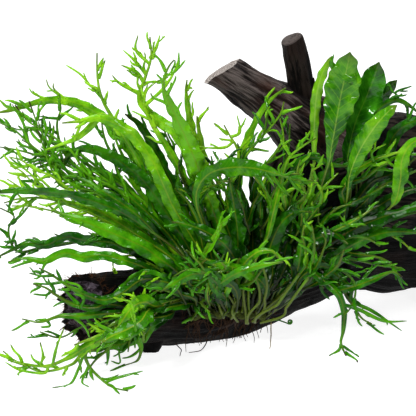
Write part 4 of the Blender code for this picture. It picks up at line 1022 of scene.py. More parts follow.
# %% The picked leaves
LEAVES = [
    # the tall fan at the upper left
    leaf("bright_arching_leaf", 12, (-12, 2, 4, 0, -6), "bright",
         "222,312 200,262 184,232 172,205 162,182 153,162 142,145 128,131 112,122 96,118 80,121 62,123",
         "0.87 -1 7 80,136 62,144 45,150; 0.93 -1 4 74,141", roll=-12, tip=0.95, lean=-18, ahead=5,
         shade=0.65, tone=0.02, rounds=1, lace=0.93),
    leaf("dark_arching_leaf", 10, (-10, 20, 34, 30, 22), "mid",
         "219,306 201,264 174,222 152,186 132,152 112,127 92,110 76,103 60,100 44,101 28,105 12,110 -4,113",
         "0.74 1 3 52,90 46,79; 0.79 1 2.5 36,95 29,88; 0.69 1 2.5 57,92 54,83", roll=10, tip=0.97,
         tone=-0.02, rounds=1),
    leaf("forked_thin_leaf", 5, (-8, 4, 6, 4, 2), "bright",
         "214,307 190,254 162,206 136,158 116,124 104,103 99,88 97,70 97,53",
         "0.83 -1 3 90,85 80,74 66,65", tip=0.8, roll=15),
    leaf("lace_crown_leaf", 13, (-8, 12, 28, 34, 30), "mid",
         "224,306 212,250 203,206 192,160 178,134 160,121 145,108 140,95 145,78 151,58 150,37",
         "0.80 -1 5 128,88 118,82 112,75; 0.84 -1 5 136,72 121,65; 0.87 -1 4 136,62 123,50; 0.91 -1 4 "
         "136,50 138,35; 0.93 1 4 156,48 160,35", tip=0.83, roll=-15, tone=0.02),
    leaf("red_rib_leaf", 17, (-6, 18, 22, 14, 10), "mid",
         "227,312 215,240 206,190 195,160 186,138 176,117 167,98 163,84 168,68 174,60",
         "0.93 1 4 177,69 179,52", tip=0.88, roll=8, lean=-22, ahead=9, shade=0.3, tone=0.26),
    leaf("yellow_pointed_leaf", 11, (-4, 26, 36, 34, 28), "bright",
         "229,306 218,240 208,188 199,160 194,140 190,120 187,100 186,90 187,80",
         "0.95 1 2.5 192,87", roll=-10, tip=0.93),
    leaf("dark_wavy_leaf", 13, (-14, -8, 4, 8, 2), "deep",
         "217,312 195,262 172,222 148,186 124,164 106,154 90,149 75,151 62,162",
         roll=14, tip=0.97, ahead=3),
    leaf("small_curved_leaf", 8, (-14, -14, -6, 0, 2), "mid",
         "209,308 182,262 152,222 128,188 108,173 88,170 70,180",
         roll=-14, tip=0.95, lean=12, ahead=1.5),
    # the lacy mass on the left
    leaf("lacy_frond_1", 7, (-16, -18, -8, 4, 10), "mid",
         "204,309 176,256 140,226 108,205 80,188 56,168 34,148 14,130 -4,121",
         "0.78 1 2.6 44,140 38,121; 0.86 1 2.6 24,125 12,104; 0.82 -1 2.6 30,160 4,146", tip=0.75, roll=20,
         lean=4, ahead=1.5),
    leaf("lacy_frond_2", 6, (-12, -6, 10, 22, 26), "mid",
         "212,313 180,250 140,206 108,184 78,168 62,148 57,125 61,108 58,98",
         "0.93 -1 2.4 45,118 39,121", tip=0.8, roll=-20, ahead=5),
    leaf("lacy_frond_3", 8, (-18, -26, -24, -16, -12), "bright",
         "199,310 176,269 138,236 100,212 70,203 40,198 18,199 4,203",
         "0.78 1 2.6 42,186 26,170 9,161; 0.72 1 2.6 50,188 32,170; 0.86 -1 2.2 22,206 10,212", tip=0.75,
         roll=12, ahead=1.5),
    leaf("lacy_frond_4", 8, (-14, -14, 0, 12, 14), "mid",
         "207,314 170,246 136,214 104,192 76,176 48,160 22,151 0,147",
         "0.74 1 2.4 50,148 44,132; 0.82 -1 2.4 24,166 10,158", tip=0.7, roll=-8, lean=-9, ahead=5),
    leaf("dark_left_leaf", 9, (-15, -20, -10, 0, 4), "deep",
         "202,315 179,262 134,220 96,202 62,194 30,191 10,191 -8,193",
         tip=0.97, roll=22, stem=0.4, lean=-26, ahead=7),
    leaf("long_left_leaf", 13, (-20, -40, -44, -40, -36), "mid",
         "196,317 178,280 152,253 126,239 100,228 76,218 52,211",
         "0.93 -1 2.5 62,217", tip=0.95, roll=-10, lean=-4, ahead=3),
    # the long wavy pair
    leaf("wavy_pair_upper", 10, (-22, -46, -52, -50, -48), "deep",
         "194,312 170,278 142,256 112,243 88,241 66,237 46,245 28,243 12,250 -6,259",
         "0.62 1 2.4 96,238 88,232; 0.90 1 2.4 14,240 5,246", tip=0.9, roll=12, lean=2, ahead=1.5),
    leaf("wavy_pair_lower", 9, (-24, -52, -60, -60, -58), "mid",
         "191,316 166,286 140,267 120,259 100,255 84,257 64,253 44,261 26,258 8,262",
         "0.84 -1 2.4 36,265", tip=0.92, roll=-12),
    # the trailing ones at the lower left
    leaf("over_log_frond", 8, (-48, -62, -76, -80, -74), "mid",
         "178,297 160,281 142,280 124,292 106,300 88,296 68,286 52,275 39,268",
         "0.90 -1 2.6 42,276 29,273; 0.84 -1 2.6 48,284 33,283", tip=0.8, roll=10, stem=0.1),
    leaf("low_left_frond", 6, (-60, -74, -82, -80, -74), "mid",
         "144,309 124,312 100,314 80,316 60,316 40,322 22,319",
         "0.80 -1 2.4 50,326 40,327; 0.62 -1 3 84,326 90,338", tip=0.7, stem=0.12, rounds=1, lace=0.8,
         tone=0.12),
    leaf("sweeping_frond", 9, (-52, -66, -77, -76, -62, -56), "bright",
         "168,301 150,314 128,326 106,337 86,347 66,359 46,366 26,364 14,360 3,351",
         "0.70 1 2.6 57,346 64,328; 0.78 1 2.6 43,356 40,342; 0.72 -1 2.6 44,373 20,370 5,362", tip=0.62,
         stem=0.1, roll=10, lean=-4, rounds=1, lace=0.75, tone=0.02),
    leaf("front_fork_frond", 6, (-50, -74, -90, -92, -98), "mid",
         "160,304 140,322 116,334 98,342 86,352 88,364 98,376 112,387 128,391",
         "0.84 1 2.6 120,377 143,371; 0.60 -1 2.8 78,370 70,384 52,388; 0.66 1 2.2 82,382 89,387", tip=0.6,
         stem=0.12, lean=15, ahead=5, rounds=1, lace=0.7, tone=0.2),
    leaf("hooked_frond", 7, (-48, -58, -63, -60, -52), "mid",
         "172,301 158,312 146,322 137,334 141,348 137,361 122,366",
         "0.60 -1 2.8 120,350 120,363 111,361", tip=0.7, stem=0.12, roll=-10, lean=12, ahead=1.5, rounds=1,
         lace=0.7, tone=0.2),
    leaf("broad_low_leaf", 15, (-50, -66, -76, -84, -88), "bright",
         "156,304 148,312 140,322 126,330 112,336 100,344",
         "0.60 1 3 132,304 122,300; 0.5 -1 4 146,334", tip=0.92, stem=0.1, roll=-18, lean=-15, tone=-0.15),
    # the middle
    leaf("dull_arched_leaf", 15, (-18, -30, -38, -40, -40), "mid",
         "234,307 240,284 236,262 224,244 206,232 188,225 172,222",
         roll=-20, tip=0.95, lean=4, shade=0.1, tone=-0.18),
    leaf("lobed_front_leaf", 9, (-16, -36, -44, -44), "bright",
         "237,313 236,284 244,264 258,252 272,251 278,258",
         "0.60 -1 3 256,262", roll=10, tip=0.92, shade=0.0, tone=-0.12),
    leaf("upright_leaf_1", 14, (-12, -10, -4, 0), "mid",
         "242,313 238,270 238,235 234,205 229,178",
         roll=24, tip=0.95, lean=-8, shade=0.0, tone=-0.15),
    leaf("yellow_rib_leaf", 15, (-14, -18, -20, -18, -14), "bright",
         "232,313 216,262 202,225 196,196 206,176 226,168 252,168 274,173 294,179 314,181",
         "0.82 1 2.8 280,187 292,197; 0.90 1 4 297,188 307,194", roll=-10, tip=0.86, stem=0.42, tone=-0.24,
         skew=1.5, ruffle=0.45),
    leaf("lace_star_frond", 5, (-10, -4, 4, 6, 4), "bright",
         "239,306 232,262 226,222 230,185 238,160 237,148 230,136 224,125",
         "0.93 1 3 240,132 237,115; 0.90 -1 2 226,147 214,148 198,147", tip=0.8, stem=0.5, ahead=1.5,
         lean=5),
    leaf("light_upright_leaf", 9, (-6, 10, 22, 26, 24), "bright",
         "244,306 238,262 234,222 237,185 243,152 252,128 264,107 276,95 286,88",
         roll=12, tip=0.93, lean=9, tone=-0.05, rounds=1, lace=0.9),
    leaf("finger_frond", 6, (0, 6, 12, 14, 12), "bright",
         "249,313 262,262 272,218 280,186 288,160 300,148 316,138",
         "0.86 -1 2.8 284,146 284,138; 0.93 -1 2.4 302,142 307,136", tip=0.75, stem=0.4, lean=-22, ahead=3,
         shade=0.1, tone=-0.12),
    leaf("dark_hooked_leaf", 8, (2, 10, 20, 22, 20), "deep",
         "256,314 270,262 280,216 288,182 300,162 314,157 330,164 352,167",
         roll=-14, tip=0.95, shade=0.0),
    leaf("middle_lobed_leaf", 15, (-4, -8, -10, -10, -8), "mid",
         "252,307 264,270 272,242 282,222 296,212 312,212",
         "0.86 -1 4 296,203; 0.95 1 2.4 308,205", roll=16, tip=0.93, ahead=1.5, tone=-0.2),
    # the broad plain ones at the upper right
    leaf("broad_leaf_front", 29, (12, 16, 18, 20, 18), "deep",
         "322,247 325,215 328,180 331,150 336,122 341,95 346,72 350,52",
         "0.86 -1 12 333,66 334,54", roll=-12, tip=1.0, stem=0.38, skew=2.0, quilt=0.3, tone=-0.09,
         ruffle=0.14),
    leaf("broad_leaf_middle", 27, (20, 27, 32, 34, 32), "deep",
         "336,238 341,205 345,178 349,150 356,122 366,98 374,78 379,62",
         roll=22, tip=1.0, stem=0.3, skew=1.8, quilt=0.25, ruffle=0.12),
    leaf("broad_leaf_rear", 14, (26, 40, 46, 46, 42), "deep",
         "342,235 348,200 353,168 361,138 372,112 386,92 397,80",
         roll=-20, tip=1.0, stem=0.35, skew=1.8, quilt=0.2, ruffle=0.12),
    leaf("broad_leaf_light", 16, (22, 20, 16, 12, 10), "bright",
         "339,237 344,205 350,175 360,150 374,128 387,113 397,105",
         roll=14, tip=1.0, stem=0.3, skew=1.5, lean=-12, quilt=0.25, tone=-0.06, ruffle=0.16),
    leaf("arched_dark_leaf", 7, (28, 30, 30, 28, 26), "deep",
         "346,237 356,200 364,160 370,126 380,108 396,100 410,106 424,118",
         "0.84 1 2.4 396,92 412,86", roll=-10, tip=0.9, stem=0.4),
    leaf("edge_dark_leaf", 13, (25, 24, 22, 20, 18), "deep",
         "344,234 362,205 376,175 386,152 396,133 412,122 432,118",
         roll=8, tip=0.97, stem=0.35, ahead=3),
    leaf("edge_yellow_leaf", 13, (24, 14, 8, 8, 8), "bright",
         "345,240 375,226 393,206 400,182 402,160 411,144 427,137",
         roll=-14, tip=0.97, stem=0.42),
    # the long ones that reach right, low down
    leaf("long_right_leaf_1", 11, (6, 0, 2, 6, 8), "mid",
         "266,317 284,298 306,280 330,260 356,243 384,233 410,232 430,236",
         "0.80 1 3 398,238 405,243", roll=-16, tip=0.92, stem=0.25, shade=0.0, tone=-0.1),
    leaf("long_right_leaf_2", 11, (8, 10, 14, 16, 16), "deep",
         "302,264 326,247 352,230 380,218 408,209 432,204",
         roll=14, tip=0.95, stem=0.25, lean=-12, tone=-0.1),
    leaf("long_right_leaf_3", 10, (18, 18, 16, 14), "mid",
         "330,240 352,222 378,206 404,192 430,186",
         roll=-10, tip=0.95, stem=0.2, lean=22, ahead=7, tone=-0.2),
    leaf("spiky_leaf", 7, (14, 2, -4, -4), "bright",
         "308,257 316,240 334,231 352,222 372,209",
         "0.45 -1 3 318,222; 0.68 -1 2.6 340,216; 0.84 -1 2.4 360,210", roll=-12, tip=0.8, stem=0.2,
         tone=-0.3),
    leaf("level_laced_frond", 8, (19, 16, 12, 10), "bright",
         "327,242 336,206 350,176 370,162 392,154 414,150",
         "0.72 -1 2.8 372,152 386,144; 0.80 1 2.8 394,166 410,165", roll=10, tip=0.8, stem=0.3, ahead=1.5,
         tone=-0.1),
    # the hanging ones at the right front
    leaf("hanging_frond", 7, (8, -14, -20, -22, -26), "mid",
         "262,311 282,288 302,268 320,278 338,294 344,312 343,332 341,343 346,356",
         "0.68 1 4.8 362,311 384,321 407,321; 0.93 1 2.4 350,351 359,357", roll=10, tip=0.85, stem=0.2,
         lean=2, ahead=3, rounds=1, lace=0.93, shade=0.0, tone=-0.05, burnt=1.0, grow=1.25),
    leaf("right_curled_frond", 7, (10, 2, 0, 2, 4), "mid",
         "303,267 314,276 332,290 352,287 374,279 392,272 402,277",
         "0.55 1 5 352,300 374,312 402,331", roll=-8, tip=0.85, stem=0.2, lean=-15, rounds=1, lace=0.93,
         burnt=1.0, tone=-0.1),
    leaf("finger_cluster", 10, (12, -2, -8, -8), "deep",
         "306,262 312,258 324,264 338,276 352,286 366,279",
         "0.42 -1 3.4 334,258 350,264; 0.60 -1 3.4 352,274 367,271", roll=14, tip=0.75, stem=0.12,
         tone=0.08, shade=0.2, grow=1.2),
    # behind
    leaf("rear_leaf_1", 13, (30, 48, 78, 106, 128), "deep",
         "226,236 214,220 202,217 192,221 186,236",
         tip=0.95, roll=20, rear=True),
    leaf("rear_leaf_2", 13, (46, 64, 92, 120, 140), "mid",
         "256,214 262,200 266,200 268,206 268,222",
         tip=0.95, roll=-20, rear=True),
    leaf("rear_leaf_3", 12, (12, 34, 62, 86, 104), "mid",
         "200,251 182,228 164,218 150,224 142,240",
         tip=0.95, roll=10, rear=True),
]


def grow_leaves(specs, from_cad):
    """Makes each leaf a piece of its own, which replaces the CAD leaf of its name if there is one."""
    points = 0
    for spec in specs:
        look = LEAF_LOOKS[LOOK_OF.get(spec["name"], spec["colour"])]
        piece = join_tubes(spec["name"] + "_blade", leaf_tubes(spec), look)
        ride_for(piece, SLOT_OF[spec["colour"]], *([spec["name"]] if from_cad else []))
        points += len(piece.data.vertices)
    print("leaves:", len(specs), "points:", points)


grow_leaves(LEAVES, from_cad=True)

# %% [markdown]
# ## Rhizomes and roots
# The leaves grow from creeping stems 5 to 6 mm thick, green-brown, scaly and a little furry, pressed
# against the wood. Dark brown wiry roots leave them, mat over the underside of the log and hang free in
# short ends. Hair curves would be easy, but a hair isn't a solid thing, so every root is a tube carried
# along its own path.

# %% Round stems and roots
def round_tube(path, radii, sides, knobs=0.0, seed=1):
    """A round tube: circles square to the path, swollen by uneven knobs, with its ends closed by a fan."""
    along = tangents(path)
    level = np.where(np.abs(along[:, 1:2]) > 0.9, [[1.0, 0.0, 0.0]], [[0.0, 1.0, 0.0]])
    across = np.cross(along, level)
    across /= np.linalg.norm(across, axis=1)[:, None]
    up = np.cross(across, along)
    angle = np.linspace(0, 2 * math.pi, sides, endpoint=False)
    knobbly = uneven(len(path), sides, max(3, len(path) // 3), max(4, sides // 3), seed)
    swell = radii[:, None] * (1 + knobs * knobbly)
    points = (path[:, None, :] + (swell * np.cos(angle))[..., None] * across[:, None, :]
              + (swell * np.sin(angle))[..., None] * up[:, None, :])
    points[..., 2] = np.maximum(points[..., 2], 0.2 * MM)
    far = np.broadcast_to(lengths(path)[:, None], swell.shape)
    straight = np.stack([far, swell * np.cos(angle), swell * np.sin(angle)], axis=-1)
    return points, straight


def join_round(name, tubes, look):
    """Round tubes as one mesh, which carries where each point would be if its stem were straight."""
    return join_tubes(name, tubes, look, ("straight",), turned=True)


def stem_finish(name, dark, light, roughness, scale):
    """Living or dead plant fibre: two tones in fine streaks along the stem, with a scaly bump."""
    material, tree, shader = material_of(name, roughness, Specular_IOR_Level=0.1)
    straight = node(tree, "Attribute", output="Vector", attribute_name="straight")
    streak_place = node(tree, "Mapping", {"Vector": straight, "Scale": (scale, 5 * scale, 5 * scale)})
    streaks = node(tree, "TexNoise", {"Vector": streak_place, "Scale": 1.0, "Detail": 4.0, "Roughness": 0.7})
    colour = node(tree, "ValToRGB", {"Fac": streaks}, stops=((0.32, dark), (0.64, light)))
    bump = node(tree, "Bump", {"Strength": 0.7, "Distance": 0.6 * MM, "Height": streaks})
    tree.links.new(colour, shader.inputs["Base Color"])
    tree.links.new(bump, shader.inputs["Normal"])
    return material


rhizome_bark = stem_finish("scaly fern rhizome", "#0a0a04", "#46531a", 0.8, 300)
root_fibre = stem_finish("wiry fern root", "#0d0805", "#3c2818", 0.7, 420)
pale_root_fibre = stem_finish("young pale root", "#5a4a28", "#9a8a58", 0.6, 420)
young_curl = stem_finish("unrolling young leaf", "#123a10", "#3c7a1e", 0.4, 300)
print("stem finishes:", [look.name for look in (rhizome_bark, root_fibre, pale_root_fibre, young_curl)])

# %% Rhizomes
RHIZOMES = {
    "rhizome_main": ("188,317 204,315 220,313 236,313 252,315 268,316", 6.0),
    "rhizome_left": ("134,309 148,307 164,303 182,300", 5.0),
    "rhizome_right": ("299,268 314,254 328,243 344,236", 5.5),
}
RHIZOME_ROWS = 60
LIMBS_TREE = search_tree([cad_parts[name] for name in ("trunk", "lower_limb", "upper_limb")])


def lay_on(path, height, tree=LIMBS_TREE):
    """The path moved along its lines of sight until it lies height in front of the wood."""
    sight = (path - EYE) / np.linalg.norm(path - EYE, axis=1)[:, None]
    return EYE + sight * (sight_hits(path, tree) - height)[:, None]


for number, (name, (route, thickness)) in enumerate(RHIZOMES.items()):
    bedded = lay_on(path_through(spots(pixels_of(route), 0), 7), 0.3 * thickness * MM)
    path = path_through(bedded, RHIZOME_ROWS)
    share = np.linspace(0, 1, RHIZOME_ROWS)
    ends = np.minimum(1, 0.45 + 6 * np.minimum(share, 1 - share))
    radii = 0.6 * thickness * MM * ends * (1 + 0.3 * np.sin(34 * share) * np.sin(13 * share))
    piece = join_round(name + "_stem", [round_tube(path, radii, 20, 0.34, 80 + number)], rhizome_bark)
    ride_for(piece, "rhizome", name)


print("rhizomes:", list(RHIZOMES))

# %% Roots that hang free
ROOTS = {
    "root_forked": ("176,330 176,343 181,350 180,356", (-14, -16, -22, -28), 1.3, root_fibre),
    "root_long": ("208,330 206,344 200,351 189,353", (-6, -12, -22, -30), 1.3, root_fibre),
    "root_pale": ("271,322 271,335 270,349", (5, 4, 2), 1.2, pale_root_fibre),
}
ROOT_ROWS = 28
for number, (name, (route, depths, thickness, look)) in enumerate(ROOTS.items()):
    path = path_through(spots(pixels_of(route), depths), ROOT_ROWS)
    path[:, 2] = np.maximum(path[:, 2], 0.75 * thickness * MM)
    sway = 0.5 * MM * uneven(ROOT_ROWS, 4, 6, 4, 90 + number)[:, :3] * np.linspace(0, 1, ROOT_ROWS)[:, None]
    radii = 0.5 * thickness * MM * np.linspace(1, 0.5, ROOT_ROWS)
    piece = join_round(name + "_fibre", [round_tube(path + sway, radii, 8, 0.12, 95 + number)], look)
    ride_for(piece, "root", name)


print("hanging roots:", list(ROOTS))

# %% The curled young leaf
CURL_RADIUS = 2.2 * MM
CURL_THICKNESS = 1.6 * MM
STEM_ROWS = 20
stem = path_through(spots(pixels_of("270,321 277,320 284,322 289,324"), [2, 0, -2, -3]), STEM_ROWS)
centre = stem[-1] + np.array([0.3, 0.0, 1.0]) * CURL_RADIUS
turn = np.linspace(-0.5 * math.pi, 2.2 * math.pi, 2 * STEM_ROWS)[1:]
shrink = np.linspace(1.0, 0.25, len(turn))[:, None] * CURL_RADIUS
curl = centre + shrink * np.column_stack([np.cos(turn), 0 * turn, np.sin(turn)])
radii = 0.5 * CURL_THICKNESS * np.concatenate([np.full(STEM_ROWS, 0.8), np.linspace(0.9, 1.15, len(turn))])
piece = join_round("fiddlehead_curl", [round_tube(np.vstack([stem, curl]), radii, 12, 0.08, 99)], young_curl)
ride_for(piece, "fiddlehead", "fiddlehead")
print("points of the curl:", len(piece.data.vertices))

# %% [markdown]
# ## The rest of the clump
# The real clump has over a hundred leaves; the CAD model holds the ones that make its outline. The others
# fill the heart of it: darker leaves behind, the crowded lacy fronds on the left, small wet ones over the
# log, and curled fronds in front of the rest. They come from the same leaf rule and are joined in beds. A
# particle system could scatter them, but picked routes keep the gaps and the lean of the real clump. Each
# bed has its tone and where its lace starts. Each row has a width, a first and a last depth in mm, a green,
# where the finger starts, how much the tips are scorched, and the route.

# %% Beds of leaves
# A bed's first number is its tone: the middle and right beds are darker, which paints the clump's shade.
BEDS = {
    "bed_behind_left": (-0.01, 0.48, """
    12 -6 26 deep 0.97 0.1 208,306 188,262 172,238 150,222 128,214
    13 -10 10 mid 0.95 0.1 206,308 182,268 160,244 140,232 120,230
    12 -4 34 deep 0.97 0.1 213,306 192,255 176,222 160,196 146,176
    11 -2 30 mid 0.97 0.1 217,306 200,250 190,215 182,188 176,166
    10 0 42 deep 0.97 0.1 222,306 208,250 200,215 193,190 187,170
    11 -6 28 mid 0.95 0.1 214,306 196,258 178,228 160,208 138,196 116,188
    10 -8 18 deep 0.97 0.1 210,306 186,262 158,230 130,206 104,190
    13 -12 -6 mid 0.95 0.1 207,309 180,264 150,236 118,216 90,203
    12 -16 -24 mid 0.97 0.1 202,310 176,276 150,256 128,246 106,243
    14 -20 -30 mid 0.97 0.1 200,308 190,284 178,268 160,264 146,270
    10 4 52 deep 0.97 0.0 216,300 202,255 184,228 162,214 142,206 124,204
    11 8 60 deep 0.97 0.0 222,298 212,250 200,222 184,202 166,192 150,192
    9 6 36 mid 0.90 0.1 219,305 206,248 196,205 184,176 172,152 164,130
    9 -8 12 mid 0.93 0.1 207,304 180,250 158,212 146,182 138,160 126,142
    """),
    "bed_of_lace_left": (0.15, 0.48, """
    8 -8 16 deep 0.85 0.5 209,306 178,262 150,226 126,196 112,168 104,142 101,118
    7 -6 22 mid 0.80 0.3 211,306 184,262 160,224 140,190 126,160 118,137 116,116
    5 -16 2 mid 0.60 0.9 205,308 172,262 140,228 112,204 88,192 64,185 50,170 42,150 38,130
    6 -18 -8 bright 0.60 0.3 203,310 170,264 136,232 104,208 76,192 52,178 36,168 22,160 9,157
    5 -14 12 mid 0.58 1.0 206,309 170,262 140,228 110,200 84,178 62,158 44,138 34,118 29,101
    5 -12 16 mid 0.56 1.0 208,309 174,260 146,224 118,196 92,172 70,150 48,132 28,118 15,105
    6 -18 -16 bright 0.60 0.2 202,311 170,266 138,238 106,220 76,208 48,202 24,195 7,179
    5 -10 8 mid 0.55 0.8 207,307 176,262 150,232 126,212 100,200 76,186 58,170 50,152 45,133
    5 -16 -18 mid 0.62 0.2 203,312 172,270 144,246 122,234 106,236 92,233
    5 -10 20 deep 0.62 0.4 209,306 186,262 160,228 134,206 112,198 100,190
    4 -8 10 mid 0.70 0.3 209,307 180,262 152,226 124,198 100,178 89,172 88,184 91,199
    6 -18 -30 bright 0.60 0.2 200,313 172,285 152,262 136,256 120,261 113,272
    6 -16 -4 bright 0.58 0.3 204,311 170,262 138,234 108,214 80,202 54,194 36,184 20,172 10,166
    5 -14 4 mid 0.55 0.7 206,309 172,258 144,226 114,200 86,184 62,172 46,160 34,148 22,140
    5 -12 22 deep 0.60 0.9 209,308 176,256 148,220 120,192 94,170 72,152 54,140 36,132 18,128 2,124
    6 -14 -2 deep 0.62 0.4 205,310 176,264 146,236 116,216 90,204 66,198 46,190 30,180 24,176
    5 -10 26 mid 0.60 0.7 210,308 180,256 154,220 128,192 104,172 84,158 68,150 56,158 46,166
    6 -12 6 mid 0.60 0.4 207,309 176,260 150,230 122,206 98,190 78,182 60,176 44,166 38,158
    4 -14 0 bright 0.55 0.2 204,312 170,268 136,240 104,222 76,212 50,208 30,205 12,206
    9 -4 24 mid 0.90 0.2 212,306 190,262 168,220 154,186 144,160 132,140 118,126
    """),
    "bed_in_the_middle": (-0.26, 0.6, """
    13 -8 2 mid 0.95 0.1 240,310 236,270 230,235 222,205 213,183
    12 -4 10 mid 0.97 0.1 247,309 246,270 240,230 236,200 236,172
    9 2 22 mid 0.95 0.1 254,308 256,262 258,225 264,192 269,166
    8 6 28 deep 0.97 0.1 262,311 277,280 279,252 277,224 273,194
    18 10 34 deep 0.97 0.1 266,309 284,280 292,250 302,228 318,216 332,207
    10 8 26 deep 0.97 0.1 264,306 282,278 287,252 291,226 293,200
    10 4 14 bright 0.85 0.1 268,310 288,278 300,246 308,218 322,192 338,173
    13 2 -4 deep 0.97 0.1 266,314 288,294 304,272 312,248 313,228
    11 -2 -8 mid 0.92 0.1 260,314 278,292 293,268 302,246 304,232
    7 0 18 mid 0.80 0.1 251,308 246,262 240,215 240,180 248,152 258,135 267,120 270,106
    6 4 16 bright 0.75 0.1 256,308 254,262 256,215 262,185 268,165 276,150 283,134 280,118
    7 -4 8 bright 0.80 0.1 246,308 240,262 232,222 226,190 224,172 221,158
    12 0 14 deep 0.97 0.1 250,308 252,262 250,225 254,190 262,164
    11 4 22 mid 0.97 0.1 258,309 268,270 270,235 276,200 284,172
    12 4 24 deep 0.95 0.1 262,309 276,275 284,240 288,208 284,180
    9 -6 4 mid 0.85 0.2 244,309 240,268 246,230 252,205 266,186
    8 8 26 mid 0.80 0.3 262,308 280,268 290,232 296,205 306,186
    3 0 10 mid 0.90 0.4 238,306 230,262 221,215 213,180 211,156
    4 -2 14 deep 0.85 0.6 232,306 222,262 208,222 194,190 184,172 179,161
    8 -6 -4 mid 0.80 0.1 230,308 214,250 196,206 188,190 202,178 219,168 233,159
    6 -8 -8 bright 0.60 0.1 227,310 208,252 186,208 178,190 196,191 216,189 230,180
    9 6 34 mid 0.95 0.1 243,304 250,262 252,225 250,195 246,168 244,150
    8 10 40 deep 0.97 0.1 236,302 228,262 220,232 208,208 200,188
    10 6 26 deep 0.97 0.1 250,304 262,268 266,240 262,215 254,198
    7 4 20 mid 0.70 0.2 256,309 266,262 270,225 274,198 280,176 286,150 290,124
    6 8 24 bright 0.66 0.2 258,309 272,262 282,222 292,192 300,168 310,150
    11 -14 -18 mid 0.95 0.1 228,311 222,290 212,272 198,258 186,250
    """),
    "bed_over_the_log": (-0.02, 0.6, """
    15 -50 -66 mid 0.95 0.1 186,300 172,286 158,278 142,278 126,290 108,301
    15 -34 -46 mid 0.95 0.1 196,311 180,302 166,300 154,310 147,324
    14 -26 -34 deep 0.90 0.1 226,312 220,294 212,278 202,266 194,256
    12 -28 -40 mid 0.80 0.1 222,314 214,298 204,282 196,276 184,274
    6 -30 -44 bright 0.70 0.1 224,314 218,296 210,282 196,281 174,284
    7 -24 -40 mid 0.80 0.1 216,314 207,304 198,304 193,312 191,321
    8 -26 -42 mid 0.75 0.1 222,313 212,296 205,300 206,306 210,312
    9 -40 -62 mid 0.80 0.2 182,304 164,304 148,312 136,324 130,340 128,352
    10 -42 -70 bright 0.85 0.2 180,302 160,308 142,318 124,324 106,322 96,316
    7 -46 -76 bright 0.70 0.1 176,302 156,306 138,306 128,300 122,297
    8 -46 -74 mid 0.65 0.2 172,303 152,314 134,330 118,342 104,352 92,362 84,376
    7 -48 -72 bright 0.60 0.1 170,304 150,318 130,334 112,346 90,354 68,362 46,368 24,366 8,360
    8 -44 -64 mid 0.80 0.1 178,304 162,314 150,326 146,338 144,330
    5 -50 -80 mid 0.60 0.2 172,303 150,310 126,316 104,320 84,330 64,334 40,332
    11 -44 -66 mid 0.90 0.1 176,305 158,318 140,334 122,340 104,348 88,352
    12 -26 -28 deep 0.95 0.1 214,312 200,292 184,282 168,282 150,292
    8 -30 -46 mid 0.80 0.1 206,313 190,306 170,309 150,311 130,309
    """),
    "bed_on_the_right": (-0.12, 0.65, """
    10 6 6 deep 0.95 0.1 266,316 290,290 320,262 352,240 385,223 418,212
    8 2 -4 mid 0.75 0.1 267,317 292,294 322,274 350,263 380,262 402,268
    9 12 14 mid 0.90 0.1 304,262 318,240 340,215 362,196 388,184
    6 10 -6 mid 0.65 0.1 308,260 330,251 356,250 380,257 397,268
    7 14 4 bright 0.65 0.1 332,242 350,233 372,229 396,238 411,250
    12 24 40 deep 0.97 0.1 332,238 346,212 352,188 350,166 346,150
    9 22 30 deep 0.97 0.1 340,237 360,214 372,194 378,172 377,156
    6 6 -18 mid 0.70 0.1 302,266 318,271 336,282 352,300 362,316 372,324
    7 2 -20 mid 0.70 0.1 268,314 288,290 306,270 322,264 340,270 351,285 350,302 344,316
    10 4 -10 deep 0.95 0.1 304,264 316,268 330,280 346,294
    11 8 -6 deep 0.95 0.1 302,264 306,250 318,238 334,236 348,244
    9 10 2 mid 0.80 0.1 306,260 322,244 342,236 362,238 380,246
    10 22 24 mid 0.95 0.1 338,238 356,212 376,190 398,176 418,170
    8 20 22 deep 0.90 0.1 336,239 350,210 368,184 392,168 416,158
    7 16 14 mid 0.70 0.1 320,250 334,214 346,190 362,174 384,166 408,176
    9 4 0 mid 0.95 0.1 268,318 286,302 306,284 322,268 336,256
    8 0 -10 deep 0.92 0.1 264,317 282,296 298,280 312,278 324,288
    7 14 10 mid 0.72 0.1 300,262 310,240 322,222 338,208 352,204
    12 26 34 deep 0.97 0.1 316,250 318,215 324,188 334,168 346,158
    """),
    "bed_of_curls": (-0.08, 0.3, """
    6 -42 -58 mid 0.70 0.3 176,304 168,292 158,282 146,278 138,284
    6 -40 -56 bright 0.70 0.3 178,302 172,286 162,274 150,270 142,274
    5 -40 -56 mid 0.70 0.3 196,308 190,296 178,290 166,288 154,292
    6 -36 -52 mid 0.70 0.3 208,308 206,292 214,276 222,266 218,258
    6 -38 -54 mid 0.70 0.3 206,306 198,290 192,276 198,264 206,260
    5 -38 -54 bright 0.70 0.3 210,308 214,294 208,280 198,274 190,278
    5 -34 -46 mid 0.70 0.3 214,309 222,296 236,284 250,278 262,270
    6 -6 -22 mid 0.70 0.3 296,292 304,276 312,258 318,240 312,226
    6 -8 -24 mid 0.70 0.3 298,290 308,276 320,262 326,246 322,234
    6 -8 -26 mid 0.70 0.3 300,288 312,280 324,272 336,262 344,250
    5 -6 -20 bright 0.70 0.3 300,290 306,270 306,252 300,238 304,226
    6 0 -8 bright 0.62 0.3 262,235 266,212 262,192 254,176 246,164
    6 0 -8 bright 0.62 0.3 272,236 280,214 282,194 276,178 268,168
    6 2 -6 mid 0.62 0.3 284,236 294,214 300,196 308,184 318,178
    6 2 -6 bright 0.62 0.3 290,238 300,216 302,196 296,176 300,160
    5 0 -8 mid 0.62 0.3 250,236 246,214 238,196 228,186 216,182
    6 4 -2 bright 0.62 0.3 300,232 312,212 318,194 314,176 322,164
    5 2 -6 bright 0.62 0.3 258,230 268,206 276,186 288,176 300,174
    """),
}


